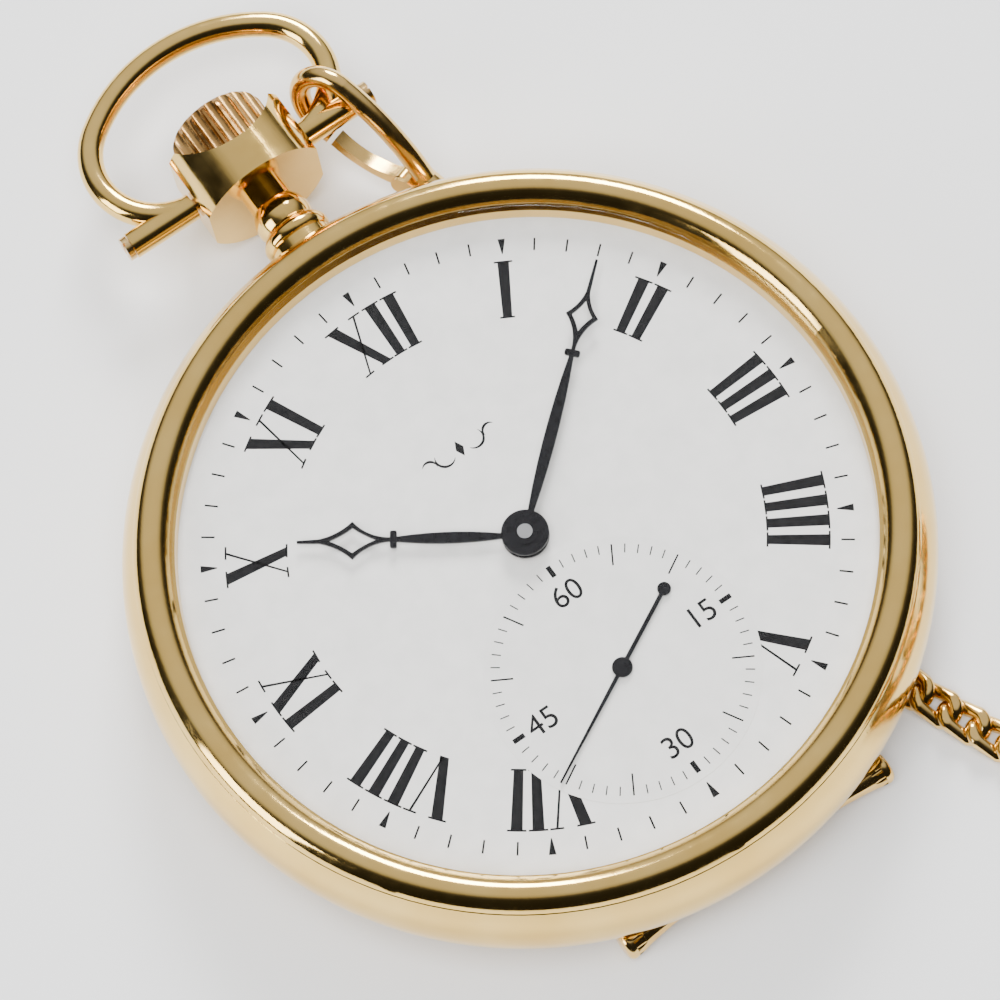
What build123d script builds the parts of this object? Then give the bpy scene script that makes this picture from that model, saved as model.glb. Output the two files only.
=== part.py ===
"""Open-face pocket watch with hand winding, small seconds, bow and double Albert chain.

Millimetres. The watch lies on its back: the origin is the centre of the case back's flat,
+Z points out of the dial, +Y to twelve o'clock and the pendant, +X to three o'clock.
"""
from build123d import *
import os
from math import asin, atan2, cos, degrees, pi, radians, sin, sqrt, tan

# ---- driving dimensions ---------------------------------------------------------------
CASE_R = 23.9            # widest radius of the case band
CASE_WIDEST_Z = 4.9
BACK_FLAT_R = 9.0        # the back is flat inside this radius, then a shallow dome
BACK_DOME_R = 43.0
BACK_WALL = 0.5
BACK_RIM_R = 23.25
BACK_SEAM_Z = 2.6        # joint between back and band
BAND_TOP_Z = 8.0         # joint between band and bezel
BEZEL_SEAT_R = 21.5
BEZEL_TOP_Z = 8.8
GLASS_R = 20.66
DIAL_TOP = 6.6
DIAL_THICK = 0.4
DIAL_R = 20.6
DIAL_SIGHT_R = 20.4
MOVEMENT_R = 18.3
BRIDGE_R = 17.4
PLATE_Z0, PLATE_Z1 = 3.9, 6.2
BRIDGE_Z0, BRIDGE_Z1 = 1.4, 2.1
COCK_Z1 = 1.85

PENDANT_Z = 4.6          # height of the stem, pendant and bow axis
BOW_Y = 30.2             # bow axis
BOW_WIRE_R = 0.8
BOW_HALF_WIDTH = 7.95
SLEEVE_R = 0.85
SLEEVE_IN_X, SLEEVE_OUT_X = 4.0, 8.5
HEAD_R = 4.3
HEAD_HALF_WIDTH = 3.9
HEAD_Y0, HEAD_Y1 = 28.1, 32.6
CROWN_R = 3.15
CROWN_Y0, CROWN_Y1 = 29.9, 34.5

SECONDS_Y = -9.77        # small seconds arbor
HOUR_ANGLE = 303.9       # clockwise from twelve, in degrees
MINUTE_ANGLE = 48.5
SECOND_ANGLE = 242.0

CHAIN_WIDTH = 2.4
CHAIN_THICK = 1.4
CHAIN_Z = 0.72
RUN_CLEAR = 0.05         # radial clearance of running fits

os.makedirs("parts", exist_ok=True)


def save(builder, name):
    """Label a finished piece and write it as one STEP file."""
    builder.part.label = name
    export_step(builder.part, f"parts/{name}.step")


def clock(radius, angle):
    """Point on a circle, with the angle in degrees clockwise from twelve."""
    return (radius * sin(radians(angle)), radius * cos(radians(angle)))


def polygon(corners):
    """Flat face with straight sides."""
    return Face(Wire.make_polygon([Vector(x, y) for x, y in corners]))


def disc(radius):
    """Flat round face."""
    return Face(Wire.make_circle(radius))


def arc(start, middle, end):
    """Edge through three points of a plane."""
    return Edge.make_three_point_arc(Vector(*start), Vector(*middle), Vector(*end))


def line(start, end):
    """Straight edge in a plane."""
    return Edge.make_line(Vector(*start), Vector(*end))


def gear_face(teeth, module, phase=0.0, addendum=0.8, dedendum=1.1, share=0.4):
    """Toothed disc outline with trapezoid teeth; phase is the angle of one tooth's middle."""
    pitch_r = module * teeth / 2
    tip_r = pitch_r + addendum * module
    root_r = pitch_r - dedendum * module
    pitch = 2 * pi / teeth
    tip_half = pitch * share * 0.28
    root_half = pitch * share * 0.68
    outline = []
    for index in range(teeth):
        middle = radians(phase) + index * pitch
        steps = ((root_r, -root_half), (tip_r, -tip_half), (tip_r, tip_half), (root_r, root_half))
        for radius, offset in steps:
            outline.append((radius * cos(middle + offset), radius * sin(middle + offset)))
    return polygon(outline)


def mesh_phase(centre_a, teeth_a, phase_a, centre_b, teeth_b):
    """Phase of gear b that puts its gap on gear a's tooth."""
    line = degrees(atan2(centre_b[1] - centre_a[1], centre_b[0] - centre_a[0]))
    pitch_a = 360 / teeth_a
    lead = ((phase_a - line) % pitch_a) / pitch_a
    return line + 180 + (0.5 - lead) * 360 / teeth_b


# ---- places of the arbors ---------------------------------------------------------------
CENTRE = (0.0, 0.0)
BARREL = (-6.2, 5.49)
THIRD = (3.32, -5.354)
FOURTH = (0.0, SECONDS_Y)
ESCAPE = (-4.135, -11.275)
BALANCE = (-8.6, -6.9)
MINUTE_STUD = (-3.2, 4.2)
CROWN_WHEEL = (0.0, 11.35)

LEVER_DIR = Vector(BALANCE[0] - ESCAPE[0], BALANCE[1] - ESCAPE[1]).normalized()
PALLET_REACH = 3.0
PALLET = (ESCAPE[0] + PALLET_REACH * LEVER_DIR.X, ESCAPE[1] + PALLET_REACH * LEVER_DIR.Y)
LEVER_ANGLE = degrees(atan2(LEVER_DIR.Y, LEVER_DIR.X))

# tooth counts and modules of the going train
BARREL_TEETH, CENTRE_PINION, BARREL_MODULE = 80, 12, 0.18
CENTRE_TEETH, THIRD_PINION, CENTRE_MODULE = 80, 10, 0.14
THIRD_TEETH, FOURTH_PINION, THIRD_MODULE = 75, 10, 0.13
FOURTH_TEETH, ESCAPE_PINION, FOURTH_MODULE = 80, 8, 0.10
CANNON_TEETH, MINUTE_TEETH, CANNON_MODULE = 12, 36, 0.22
MINUTE_PINION, HOUR_TEETH, HOUR_MODULE = 12, 48, 0.176
CROWN_TEETH, RATCHET_TEETH, WIND_MODULE = 20, 40, 0.284

barrel_phase = 0.0
centre_pinion_phase = mesh_phase(BARREL, BARREL_TEETH, barrel_phase, CENTRE, CENTRE_PINION)
third_pinion_phase = mesh_phase(CENTRE, CENTRE_TEETH, 0.0, THIRD, THIRD_PINION)
fourth_pinion_phase = mesh_phase(THIRD, THIRD_TEETH, 0.0, FOURTH, FOURTH_PINION)
escape_pinion_phase = mesh_phase(FOURTH, FOURTH_TEETH, 0.0, ESCAPE, ESCAPE_PINION)
minute_wheel_phase = mesh_phase(CENTRE, CANNON_TEETH, 0.0, MINUTE_STUD, MINUTE_TEETH)
hour_wheel_phase = mesh_phase(MINUTE_STUD, MINUTE_PINION, 0.0, CENTRE, HOUR_TEETH)
ratchet_phase = mesh_phase(CROWN_WHEEL, CROWN_TEETH, 0.0, BARREL, RATCHET_TEETH)


# ---- case -------------------------------------------------------------------------------
NECK_R = 2.0
SPIGOT_R = 1.5
NECK_Y0 = 22.6
MOVEMENT_SEAT_R = 18.55
LOWER_BORE_R = 21.6
LOWER_LEDGE_Z = 3.05

with BuildPart() as case_middle:
    with BuildSketch(Plane.XZ):
        with BuildLine():
            Polyline(
                (BEZEL_SEAT_R, BAND_TOP_Z), (BEZEL_SEAT_R, 6.7), (20.75, 6.7), (20.75, PLATE_Z1),
                (MOVEMENT_SEAT_R, PLATE_Z1), (MOVEMENT_SEAT_R, LOWER_LEDGE_Z),
                (LOWER_BORE_R, LOWER_LEDGE_Z), (LOWER_BORE_R, BACK_SEAM_Z),
                (BACK_RIM_R, BACK_SEAM_Z), (BACK_RIM_R + 0.1, BACK_SEAM_Z + 0.1),
            )
            ThreePointArc(
                (BACK_RIM_R + 0.1, BACK_SEAM_Z + 0.1), (CASE_R, CASE_WIDEST_Z), (22.87, BAND_TOP_Z - 0.1)
            )
            Polyline((22.87, BAND_TOP_Z - 0.1), (22.77, BAND_TOP_Z), (BEZEL_SEAT_R, BAND_TOP_Z))
        make_face()
    revolve(axis=Axis.Z)
    with BuildSketch(Plane(origin=(0, 15, PENDANT_Z), z_dir=(0, 1, 0))):
        Circle(SPIGOT_R)
    extrude(amount=12, mode=Mode.SUBTRACT)
    with BuildSketch(Plane(origin=(0, NECK_Y0, PENDANT_Z), z_dir=(0, 1, 0))):
        Circle(NECK_R)
    extrude(amount=4, mode=Mode.SUBTRACT)
save(case_middle, "case_middle")

with BuildPart() as bezel:
    with BuildSketch(Plane.XZ):
        with BuildLine():
            Polyline(
                (22.85, BAND_TOP_Z + 0.08), (22.77, BAND_TOP_Z), (BEZEL_SEAT_R - 0.02, BAND_TOP_Z),
                (BEZEL_SEAT_R - 0.02, 6.72), (20.76, 6.72), (20.7, 6.62), (DIAL_SIGHT_R, 6.62), (20.45, 7.55),
                (GLASS_R + 0.02, 7.55), (GLASS_R + 0.02, 8.1), (20.75, 8.2),
            )
            ThreePointArc((20.75, 8.2), (21.8, BEZEL_TOP_Z), (22.85, BAND_TOP_Z + 0.08))
        make_face()
    revolve(axis=Axis.Z)
save(bezel, "bezel")

GLASS_TOP, GLASS_UNDER = 9.35, 8.5
GLASS_SHOULDER = (20.25, 8.38)
GLASS_LIP = (19.9, 7.95)


def dome_middle(apex, edge):
    """Middle point of a dome's profile arc, whose centre is on the watch's axis."""
    radius = (edge[0] ** 2 + (apex - edge[1]) ** 2) / (2 * (apex - edge[1]))
    return (edge[0] / 2, apex - radius + sqrt(radius**2 - edge[0] ** 2 / 4))


with BuildPart() as crystal:
    with BuildSketch(Plane.XZ):
        with BuildLine():
            Line((0, GLASS_UNDER), (0, GLASS_TOP))
            ThreePointArc((0, GLASS_TOP), dome_middle(GLASS_TOP, GLASS_SHOULDER), GLASS_SHOULDER)
            ThreePointArc(GLASS_SHOULDER, (20.55, 8.28), (GLASS_R, 8.05))
            Polyline((GLASS_R, 8.05), (GLASS_R, 7.56), (GLASS_LIP[0], 7.56), GLASS_LIP)
            ThreePointArc(GLASS_LIP, dome_middle(GLASS_UNDER, GLASS_LIP), (0, GLASS_UNDER))
        make_face()
    revolve(axis=Axis.Z)
save(crystal, "crystal")

BACK_OUTER_END = 23.2


def dome_height(radius):
    """Height of the back's outer surface."""
    run = max(radius - BACK_FLAT_R, 0)
    return BACK_DOME_R - sqrt(BACK_DOME_R**2 - run**2)


with BuildPart() as case_back:
    with BuildSketch(Plane.XZ):
        with BuildLine():
            Line((0, 0), (BACK_FLAT_R, 0))
            middle_r = (BACK_FLAT_R + BACK_OUTER_END) / 2
            ThreePointArc(
                (BACK_FLAT_R, 0), (middle_r, dome_height(middle_r)),
                (BACK_OUTER_END, dome_height(BACK_OUTER_END)),
            )
            Polyline(
                (BACK_OUTER_END, dome_height(BACK_OUTER_END)), (BACK_RIM_R, BACK_SEAM_Z),
                (LOWER_BORE_R - 0.02, BACK_SEAM_Z), (LOWER_BORE_R - 0.02, 3.0), (20.95, 3.0),
                (20.95, 2.5), (20.6, dome_height(20.6) + BACK_WALL),
            )
            ThreePointArc(
                (20.6, dome_height(20.6) + BACK_WALL), (14.8, dome_height(14.8) + BACK_WALL),
                (BACK_FLAT_R, BACK_WALL),
            )
            Polyline((BACK_FLAT_R, BACK_WALL), (0, BACK_WALL), (0, 0))
        make_face()
    revolve(axis=Axis.Z)
save(case_back, "case_back")

# pendant: stepped neck brazed to the band, and the head that cups the crown
SLEEVE_TUBE_R = 1.0
CROWN_WELL_R = 3.4
CROWN_WELL_Y = 29.7
SCOOP_DEPTH = 2.1
SCOOP_HALF = 3.4
scoop_r = (SCOOP_HALF**2 + SCOOP_DEPTH**2) / (2 * SCOOP_DEPTH)


def pendant_plane(height):
    """Plane across the pendant's axis at a distance from the watch's centre."""
    return Plane(origin=(0, height, PENDANT_Z), x_dir=(1, 0, 0), z_dir=(0, 1, 0))


with BuildPart() as pendant:
    with BuildSketch(Plane(origin=(0, 0, PENDANT_Z), x_dir=(0, 1, 0), z_dir=(1, 0, 0))):
        with BuildLine():
            Polyline(
                (19.0, 0), (19.0, SPIGOT_R), (NECK_Y0, SPIGOT_R), (NECK_Y0, NECK_R), (24.2, NECK_R)
            )
            ThreePointArc((24.2, NECK_R), (24.75, 2.2), (25.3, 1.85))
            Line((25.3, 1.85), (25.5, 1.7))
            ThreePointArc((25.5, 1.7), (26.3, 1.82), (27.1, 1.55))
            Polyline((27.1, 1.55), (27.25, 1.4), (HEAD_Y0 + 0.3, 1.4), (HEAD_Y0 + 0.3, 0), (19.0, 0))
        make_face()
    revolve(axis=Axis((0, 0, PENDANT_Z), (0, 1, 0)))
    with BuildSketch(pendant_plane(HEAD_Y0)):
        Circle(HEAD_R)
        Rectangle(2 * HEAD_HALF_WIDTH, 2 * HEAD_R, mode=Mode.INTERSECT)
    extrude(amount=HEAD_Y1 - HEAD_Y0)
    with BuildSketch(pendant_plane(CROWN_WELL_Y)):
        Circle(CROWN_WELL_R)
    extrude(amount=4, mode=Mode.SUBTRACT)
    with BuildSketch(Plane.XY.offset(PENDANT_Z)):
        with Locations((0, HEAD_Y1 - SCOOP_DEPTH + scoop_r)):
            Circle(scoop_r)
    extrude(amount=HEAD_R + 1, both=True, mode=Mode.SUBTRACT)
    with BuildSketch(pendant_plane(18.5)):
        Circle(SLEEVE_TUBE_R)
    extrude(amount=13, mode=Mode.SUBTRACT)
    with BuildSketch(Plane.YZ.offset(-5)):
        with Locations((BOW_Y, PENDANT_Z)):
            Circle(0.42)
    extrude(amount=10, mode=Mode.SUBTRACT)
save(pendant, "pendant")

STEM_R = 0.6
with BuildPart() as pendant_sleeve:
    with BuildSketch(pendant_plane(19.2)):
        Circle(SLEEVE_TUBE_R - 0.01)
        Circle(STEM_R + RUN_CLEAR, mode=Mode.SUBTRACT)
    extrude(amount=CROWN_WELL_Y - 19.2)
save(pendant_sleeve, "pendant_sleeve")

# bow: one wire loop brazed to two sleeves that turn on screws in the pendant head
SIDE_R = 4.3
SIDE_X = BOW_HALF_WIDTH - SIDE_R
SIDE_Y = 4.3
SHOULDER = 52.0          # where the side arc meets the crest arc
FOOT = -78.0             # where the side arc enters the sleeve
shoulder_x = SIDE_X + SIDE_R * cos(radians(SHOULDER))
shoulder_y = SIDE_Y + SIDE_R * sin(radians(SHOULDER))
foot_x = SIDE_X + SIDE_R * cos(radians(FOOT))
foot_y = SIDE_Y + SIDE_R * sin(radians(FOOT))
crest_r = shoulder_x / cos(radians(SHOULDER))
BOW_RISE = shoulder_y + crest_r * (1 - sin(radians(SHOULDER)))   # bow axis to the crest's centre line
PIN_R = 0.4

with BuildPart() as bow:
    with BuildLine(Plane.XY.offset(PENDANT_Z)) as bow_path:
        ThreePointArc(
            (foot_x, BOW_Y + foot_y), (BOW_HALF_WIDTH, BOW_Y + SIDE_Y),
            (shoulder_x, BOW_Y + shoulder_y),
        )
        ThreePointArc(
            (shoulder_x, BOW_Y + shoulder_y), (0, BOW_Y + BOW_RISE), (-shoulder_x, BOW_Y + shoulder_y)
        )
        ThreePointArc(
            (-shoulder_x, BOW_Y + shoulder_y), (-BOW_HALF_WIDTH, BOW_Y + SIDE_Y),
            (-foot_x, BOW_Y + foot_y),
        )
    bow_wire = bow_path.wires()[0]
    with BuildSketch(Plane(origin=bow_wire @ 0, z_dir=bow_wire % 0)):
        Circle(BOW_WIRE_R)
    sweep(path=bow_wire)
    for side in (-1, 1):
        start = side * (SLEEVE_IN_X + SLEEVE_OUT_X) / 2
        with Locations(Location((start, BOW_Y, PENDANT_Z), (0, 90, 0))):
            Cylinder(SLEEVE_R, SLEEVE_OUT_X - SLEEVE_IN_X)
    with Locations(Location((0, BOW_Y, PENDANT_Z), (0, 90, 0))):
        Cylinder(PIN_R + RUN_CLEAR, 2 * SLEEVE_OUT_X + 1, mode=Mode.SUBTRACT)
save(bow, "bow")

with BuildPart() as bow_screws:
    for side in (-1, 1):
        inner = CROWN_WELL_R + 0.1
        outer = SLEEVE_OUT_X + 0.05
        with Locations(Location((side * (inner + outer) / 2, BOW_Y, PENDANT_Z), (0, 90, 0))):
            Cylinder(PIN_R, outer - inner)
        with Locations(Location((side * (outer + 0.2), BOW_Y, PENDANT_Z), (0, 90, 0))):
            Cylinder(SLEEVE_R - 0.08, 0.4)
        with Locations((side * (outer + 0.4), BOW_Y, PENDANT_Z)):
            Box(0.3, 0.2, 2, mode=Mode.SUBTRACT)
save(bow_screws, "bow_screws")

# ---- movement: plate, bridges and cock ------------------------------------------------------
PIVOT_R = 0.12
JEWEL_R = 0.75
JEWEL_Z = (PLATE_Z0, PLATE_Z0 + 0.3)
BRIDGE_JEWEL_Z = (BRIDGE_Z1 - 0.3, BRIDGE_Z1)
STEM_BORE_R = STEM_R + RUN_CLEAR
MOTION_FLOOR_Z = 5.1
PINION_SLOT_HALF = 2.0
PINION_SLOT_Y = (9.9, 15.2)
KEYLESS_FLOOR_Z = 5.3
KEYLESS_X = (-2.3, 5.8)
KEYLESS_Y = (9.9, 17.2)
LEVER_PIVOT = (3.4, 15.85)
YOKE_PIVOT = (3.6, 11.95)
POST_R = 0.35
BARREL_POCKET_R = 7.65
BARREL_POCKET_Z = 4.75
DIAL_FEET = (clock(15.6, 72), clock(15.6, 236))
TRAIN_ARBORS = (THIRD, FOURTH, ESCAPE)
CASE_SCREW_ANGLES = (75, 255)

with BuildPart() as mainplate:
    with BuildSketch(Plane.XY.offset(PLATE_Z0)):
        Circle(MOVEMENT_R)
    extrude(amount=PLATE_Z1 - PLATE_Z0)
    # room for the motion work under the dial
    with BuildSketch(Plane.XY.offset(MOTION_FLOOR_Z)):
        Circle(4.8)
        with Locations(MINUTE_STUD):
            Circle(4.5)
    extrude(amount=2, mode=Mode.SUBTRACT)
    with BuildSketch(Plane.XY.offset(MOTION_FLOOR_Z)):
        with Locations(MINUTE_STUD):
            Circle(0.4)
    extrude(amount=0.95)
    # room for the barrel, the keyless work and the stem
    with BuildSketch(Plane.XY.offset(PLATE_Z0)):
        with Locations(BARREL):
            Circle(BARREL_POCKET_R)
    extrude(amount=BARREL_POCKET_Z - PLATE_Z0, mode=Mode.SUBTRACT)
    with BuildSketch(Plane.XY.offset(PLATE_Z0)):
        with Locations((0, sum(PINION_SLOT_Y) / 2)):
            Rectangle(2 * PINION_SLOT_HALF, PINION_SLOT_Y[1] - PINION_SLOT_Y[0])
    extrude(amount=PLATE_Z1 - PLATE_Z0, mode=Mode.SUBTRACT)
    with BuildSketch(Plane.XY.offset(KEYLESS_FLOOR_Z)):
        with Locations((sum(KEYLESS_X) / 2, sum(KEYLESS_Y) / 2)):
            Rectangle(KEYLESS_X[1] - KEYLESS_X[0], KEYLESS_Y[1] - KEYLESS_Y[0])
    extrude(amount=1, mode=Mode.SUBTRACT)
    with BuildSketch(Plane.XY.offset(PENDANT_Z)):
        with Locations((0, LEVER_PIVOT[1] + 0.3)):
            Rectangle(0.9, 1.7)
    extrude(amount=1, mode=Mode.SUBTRACT)
    with BuildSketch(Plane.XY.offset(KEYLESS_FLOOR_Z)):
        with Locations(LEVER_PIVOT, YOKE_PIVOT):
            Circle(POST_R)
    extrude(amount=0.5)
    with BuildSketch(pendant_plane(9)):
        Circle(STEM_BORE_R)
    extrude(amount=10, mode=Mode.SUBTRACT)
    # jewel seats, centre bearing, feet and screw holes
    with BuildSketch(Plane.XY.offset(PLATE_Z0)):
        with Locations(*TRAIN_ARBORS, PALLET, BALANCE):
            Circle(JEWEL_R)
    extrude(amount=JEWEL_Z[1] - JEWEL_Z[0], mode=Mode.SUBTRACT)
    with BuildSketch(Plane.XY.offset(PLATE_Z0)):
        with Locations(*TRAIN_ARBORS, PALLET, BALANCE):
            Circle(0.25)
        with Locations(BARREL, CENTRE):
            Circle(0.55)
        with Locations(*DIAL_FEET):
            Circle(0.5)
    extrude(amount=PLATE_Z1 - PLATE_Z0, mode=Mode.SUBTRACT)
save(mainplate, "mainplate")

RIM_IN_R = 16.2
CROWN_HOLE_R = 2.95
BRIDGE_SPLIT_Y = 1.6
BARREL_SCREWS = (clock(16.75, 318), clock(16.75, 28), clock(16.75, 72))
TRAIN_SCREWS = (clock(16.75, 105), clock(16.75, 150))
COCK_SCREW = clock(16.6, 231)
COCK_IN_R = 16.2
BRIDGE_SCREW_R = 0.45
RATCHET_ROOM = 0.8


def bridge_outline(corners, inner_radius=None):
    """Part of the movement's disc inside a polygon, as a whole plate or only its rim."""
    Circle(BRIDGE_R)
    if inner_radius:
        Circle(inner_radius, mode=Mode.SUBTRACT)
    add(polygon(corners), mode=Mode.INTERSECT)


BARREL_BRIDGE_CORNERS = ((-20, BRIDGE_SPLIT_Y), (20, BRIDGE_SPLIT_Y), (20, 20), (-20, 20))
TRAIN_BRIDGE_CORNERS = (
    (-1.6, BRIDGE_SPLIT_Y - 0.3), (20, BRIDGE_SPLIT_Y - 0.3), (20, -20), (-2.6, -20), (-5.4, -12.3),
    (-4.9, -10.4), (-2.6, -9.0), (-1.9, -4.5),
)

with BuildPart() as barrel_bridge:
    with BuildSketch(Plane.XY.offset(BRIDGE_Z0)):
        bridge_outline(BARREL_BRIDGE_CORNERS)
    extrude(amount=BRIDGE_Z1 - BRIDGE_Z0)
    with BuildSketch(Plane.XY.offset(BRIDGE_Z1)):
        bridge_outline(BARREL_BRIDGE_CORNERS, RIM_IN_R)
    extrude(amount=PLATE_Z0 - BRIDGE_Z1)
    with BuildSketch(Plane.XY.offset(BRIDGE_Z0)):
        with Locations(CROWN_WHEEL):
            Circle(CROWN_HOLE_R)
        with Locations(BARREL):
            Circle(RATCHET_ROOM)
        with Locations(*BARREL_SCREWS):
            Circle(BRIDGE_SCREW_R)
    extrude(amount=PLATE_Z0 - BRIDGE_Z0, mode=Mode.SUBTRACT)
save(barrel_bridge, "barrel_bridge")

with BuildPart() as train_bridge:
    with BuildSketch(Plane.XY.offset(BRIDGE_Z0)):
        bridge_outline(TRAIN_BRIDGE_CORNERS)
    extrude(amount=BRIDGE_Z1 - BRIDGE_Z0)
    with BuildSketch(Plane.XY.offset(BRIDGE_Z1)):
        bridge_outline(TRAIN_BRIDGE_CORNERS, RIM_IN_R)
    extrude(amount=PLATE_Z0 - BRIDGE_Z1)
    with BuildSketch(Plane.XY.offset(BRIDGE_Z0)):
        with Locations(*TRAIN_ARBORS):
            Circle(JEWEL_R)
        with Locations(CENTRE):
            Circle(0.45)
        with Locations(*TRAIN_SCREWS):
            Circle(BRIDGE_SCREW_R)
    extrude(amount=PLATE_Z0 - BRIDGE_Z0, mode=Mode.SUBTRACT)
save(train_bridge, "train_bridge")

COCK_FOOT_ANGLES = (222, 241)
BALANCE_CLOCK = degrees(atan2(BALANCE[0], BALANCE[1])) % 360

with BuildPart() as balance_cock:
    foot_corners = ((0, 0), clock(40, COCK_FOOT_ANGLES[0]), clock(40, COCK_FOOT_ANGLES[1]))
    with BuildSketch(Plane.XY.offset(BRIDGE_Z0)):
        bridge_outline(foot_corners, COCK_IN_R - 0.9)
        with Locations(BALANCE):
            Circle(1.5)
        with BuildLine():
            Polyline(
                clock(BRIDGE_R - 1.2, BALANCE_CLOCK - 5), clock(BRIDGE_R - 1.2, BALANCE_CLOCK + 5),
                clock(11.0, BALANCE_CLOCK + 7), clock(11.0, BALANCE_CLOCK - 7), close=True,
            )
        make_face()
    extrude(amount=COCK_Z1 - BRIDGE_Z0)
    with BuildSketch(Plane.XY.offset(COCK_Z1)):
        bridge_outline(foot_corners, COCK_IN_R)
    extrude(amount=PLATE_Z0 - COCK_Z1)
    with BuildSketch(Plane.XY.offset(BRIDGE_Z0)):
        with Locations(BALANCE):
            Circle(JEWEL_R)
        with Locations(COCK_SCREW):
            Circle(BRIDGE_SCREW_R)
    extrude(amount=PLATE_Z0 - BRIDGE_Z0, mode=Mode.SUBTRACT)
save(balance_cock, "balance_cock")

PALLET_BRIDGE_Z = (2.8, 3.1)
PALLET_FEET_REACH = 3.0
pallet_axis = Plane(origin=(PALLET[0], PALLET[1], 0), x_dir=(-LEVER_DIR.Y, LEVER_DIR.X, 0))

with BuildPart() as pallet_bridge:
    with BuildSketch(pallet_axis.offset(PALLET_BRIDGE_Z[0])):
        SlotCenterToCenter(2 * PALLET_FEET_REACH, 1.4)
        Circle(PIVOT_R + RUN_CLEAR, mode=Mode.SUBTRACT)
    extrude(amount=PALLET_BRIDGE_Z[1] - PALLET_BRIDGE_Z[0])
    with BuildSketch(pallet_axis.offset(PALLET_BRIDGE_Z[1])):
        with Locations((-PALLET_FEET_REACH, 0), (PALLET_FEET_REACH, 0)):
            Circle(0.65)
    extrude(amount=PLATE_Z0 - PALLET_BRIDGE_Z[1])
save(pallet_bridge, "pallet_bridge")

with BuildPart() as bridge_screws:
    for place in (*BARREL_SCREWS, *TRAIN_SCREWS, COCK_SCREW):
        with BuildSketch(Plane.XY.offset(BRIDGE_Z0)):
            with Locations(place):
                Circle(BRIDGE_SCREW_R - 0.01)
        extrude(amount=PLATE_Z0 - BRIDGE_Z0)
        with BuildSketch(Plane.XY.offset(BRIDGE_Z0)):
            with Locations(place):
                Rectangle(0.18, 1)
        extrude(amount=0.15, mode=Mode.SUBTRACT)
save(bridge_screws, "bridge_screws")

with BuildPart() as train_jewels:
    with BuildSketch(Plane.XY.offset(JEWEL_Z[0])):
        with Locations(*TRAIN_ARBORS, PALLET, BALANCE):
            Circle(JEWEL_R)
            Circle(PIVOT_R + 0.03, mode=Mode.SUBTRACT)
    extrude(amount=JEWEL_Z[1] - JEWEL_Z[0])
    with BuildSketch(Plane.XY.offset(BRIDGE_JEWEL_Z[0])):
        with Locations(*TRAIN_ARBORS):
            Circle(JEWEL_R)
            Circle(PIVOT_R + 0.03, mode=Mode.SUBTRACT)
    extrude(amount=BRIDGE_JEWEL_Z[1] - BRIDGE_JEWEL_Z[0])
    with BuildSketch(Plane.XY.offset(BRIDGE_Z0 + 0.1)):
        with Locations(BALANCE):
            Circle(JEWEL_R)
            Circle(PIVOT_R + 0.03, mode=Mode.SUBTRACT)
    extrude(amount=COCK_Z1 - BRIDGE_Z0 - 0.1)
save(train_jewels, "train_jewels")

with BuildPart() as case_screws:
    for angle in CASE_SCREW_ANGLES:
        place = clock(MOVEMENT_SEAT_R - 0.1, angle)
        with BuildSketch(Plane.XY.offset(LOWER_LEDGE_Z - 0.3)):
            with Locations(place):
                Circle(1.0)
        extrude(amount=0.3)
save(case_screws, "case_screws")

# ---- dial and hands ---------------------------------------------------------------------
with BuildPart() as dial:
    with BuildSketch(Plane.XY.offset(PLATE_Z1)):
        Circle(DIAL_R)
        Circle(1.15, mode=Mode.SUBTRACT)
        with Locations(FOURTH):
            Circle(0.3, mode=Mode.SUBTRACT)
    extrude(amount=DIAL_THICK)
    with BuildSketch(Plane.XY.offset(PLATE_Z0 + 0.8)):
        with Locations(*DIAL_FEET):
            Circle(0.45)
    extrude(amount=PLATE_Z1 - PLATE_Z0 - 0.8)
save(dial, "dial")

HAND_HUB_R = 1.4
SECONDS_HAND_Z = (6.78, 6.9)
HOUR_HAND_Z = (7.02, 7.2)
MINUTE_HAND_Z = (7.5, 7.66)


def hand_plane(centre, angle, height):
    """Plane whose local y points along a hand."""
    along = clock(1, angle)
    return Plane(origin=(centre[0], centre[1], height), x_dir=(along[1], -along[0], 0), z_dir=(0, 0, 1))


def lozenge_hand(length, belly, bar, diamond, root_half, belly_half, bar_half, diamond_half, diamond_long, rib):
    """Add a lance hand with a cross bar, an open hollow-sided lozenge and a fine point."""
    near, far = diamond - diamond_long, diamond + diamond_long
    fine = 0.12
    inner_half = diamond_half - 1.35 * rib
    for side in (-1, 1):
        root = (side * root_half, HAND_HUB_R * 0.8)
        neck = (side * fine, bar)
        tip = (side * fine * 0.6, length)
        corner = (side * diamond_half, diamond)
        beak = (side * fine, far + 0.35)
        body = Wire([
            line((0, 0), (side * root_half, 0)), line((side * root_half, 0), root),
            arc(root, (side * belly_half, belly), neck), line(neck, (0, bar)), line((0, bar), (0, 0)),
        ])
        head = Wire([
            line((0, bar), neck), arc(neck, (side * diamond_half * 0.36, (bar + diamond) / 2 + 0.25), corner),
            arc(corner, (side * diamond_half * 0.42, (diamond + far) / 2 + 0.12), beak),
            line(beak, tip), line(tip, (0, length)), line((0, length), (0, bar)),
        ])
        add(Face(body))
        add(Face(head))
    for side in (-1, 1):
        low, high = (0, near + rib * 0.7), (0, far - rib * 0.7)
        inner = (side * inner_half, diamond)
        window = Wire([
            arc(low, (side * inner_half * 0.42, (near + diamond) / 2 + 0.1), inner),
            arc(inner, (side * inner_half * 0.42, (diamond + far) / 2 - 0.1), high), line(high, low),
        ])
        add(Face(window), mode=Mode.SUBTRACT)
    with Locations((0, bar)):
        RectangleRounded(2 * bar_half, 0.4, 0.12)


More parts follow.
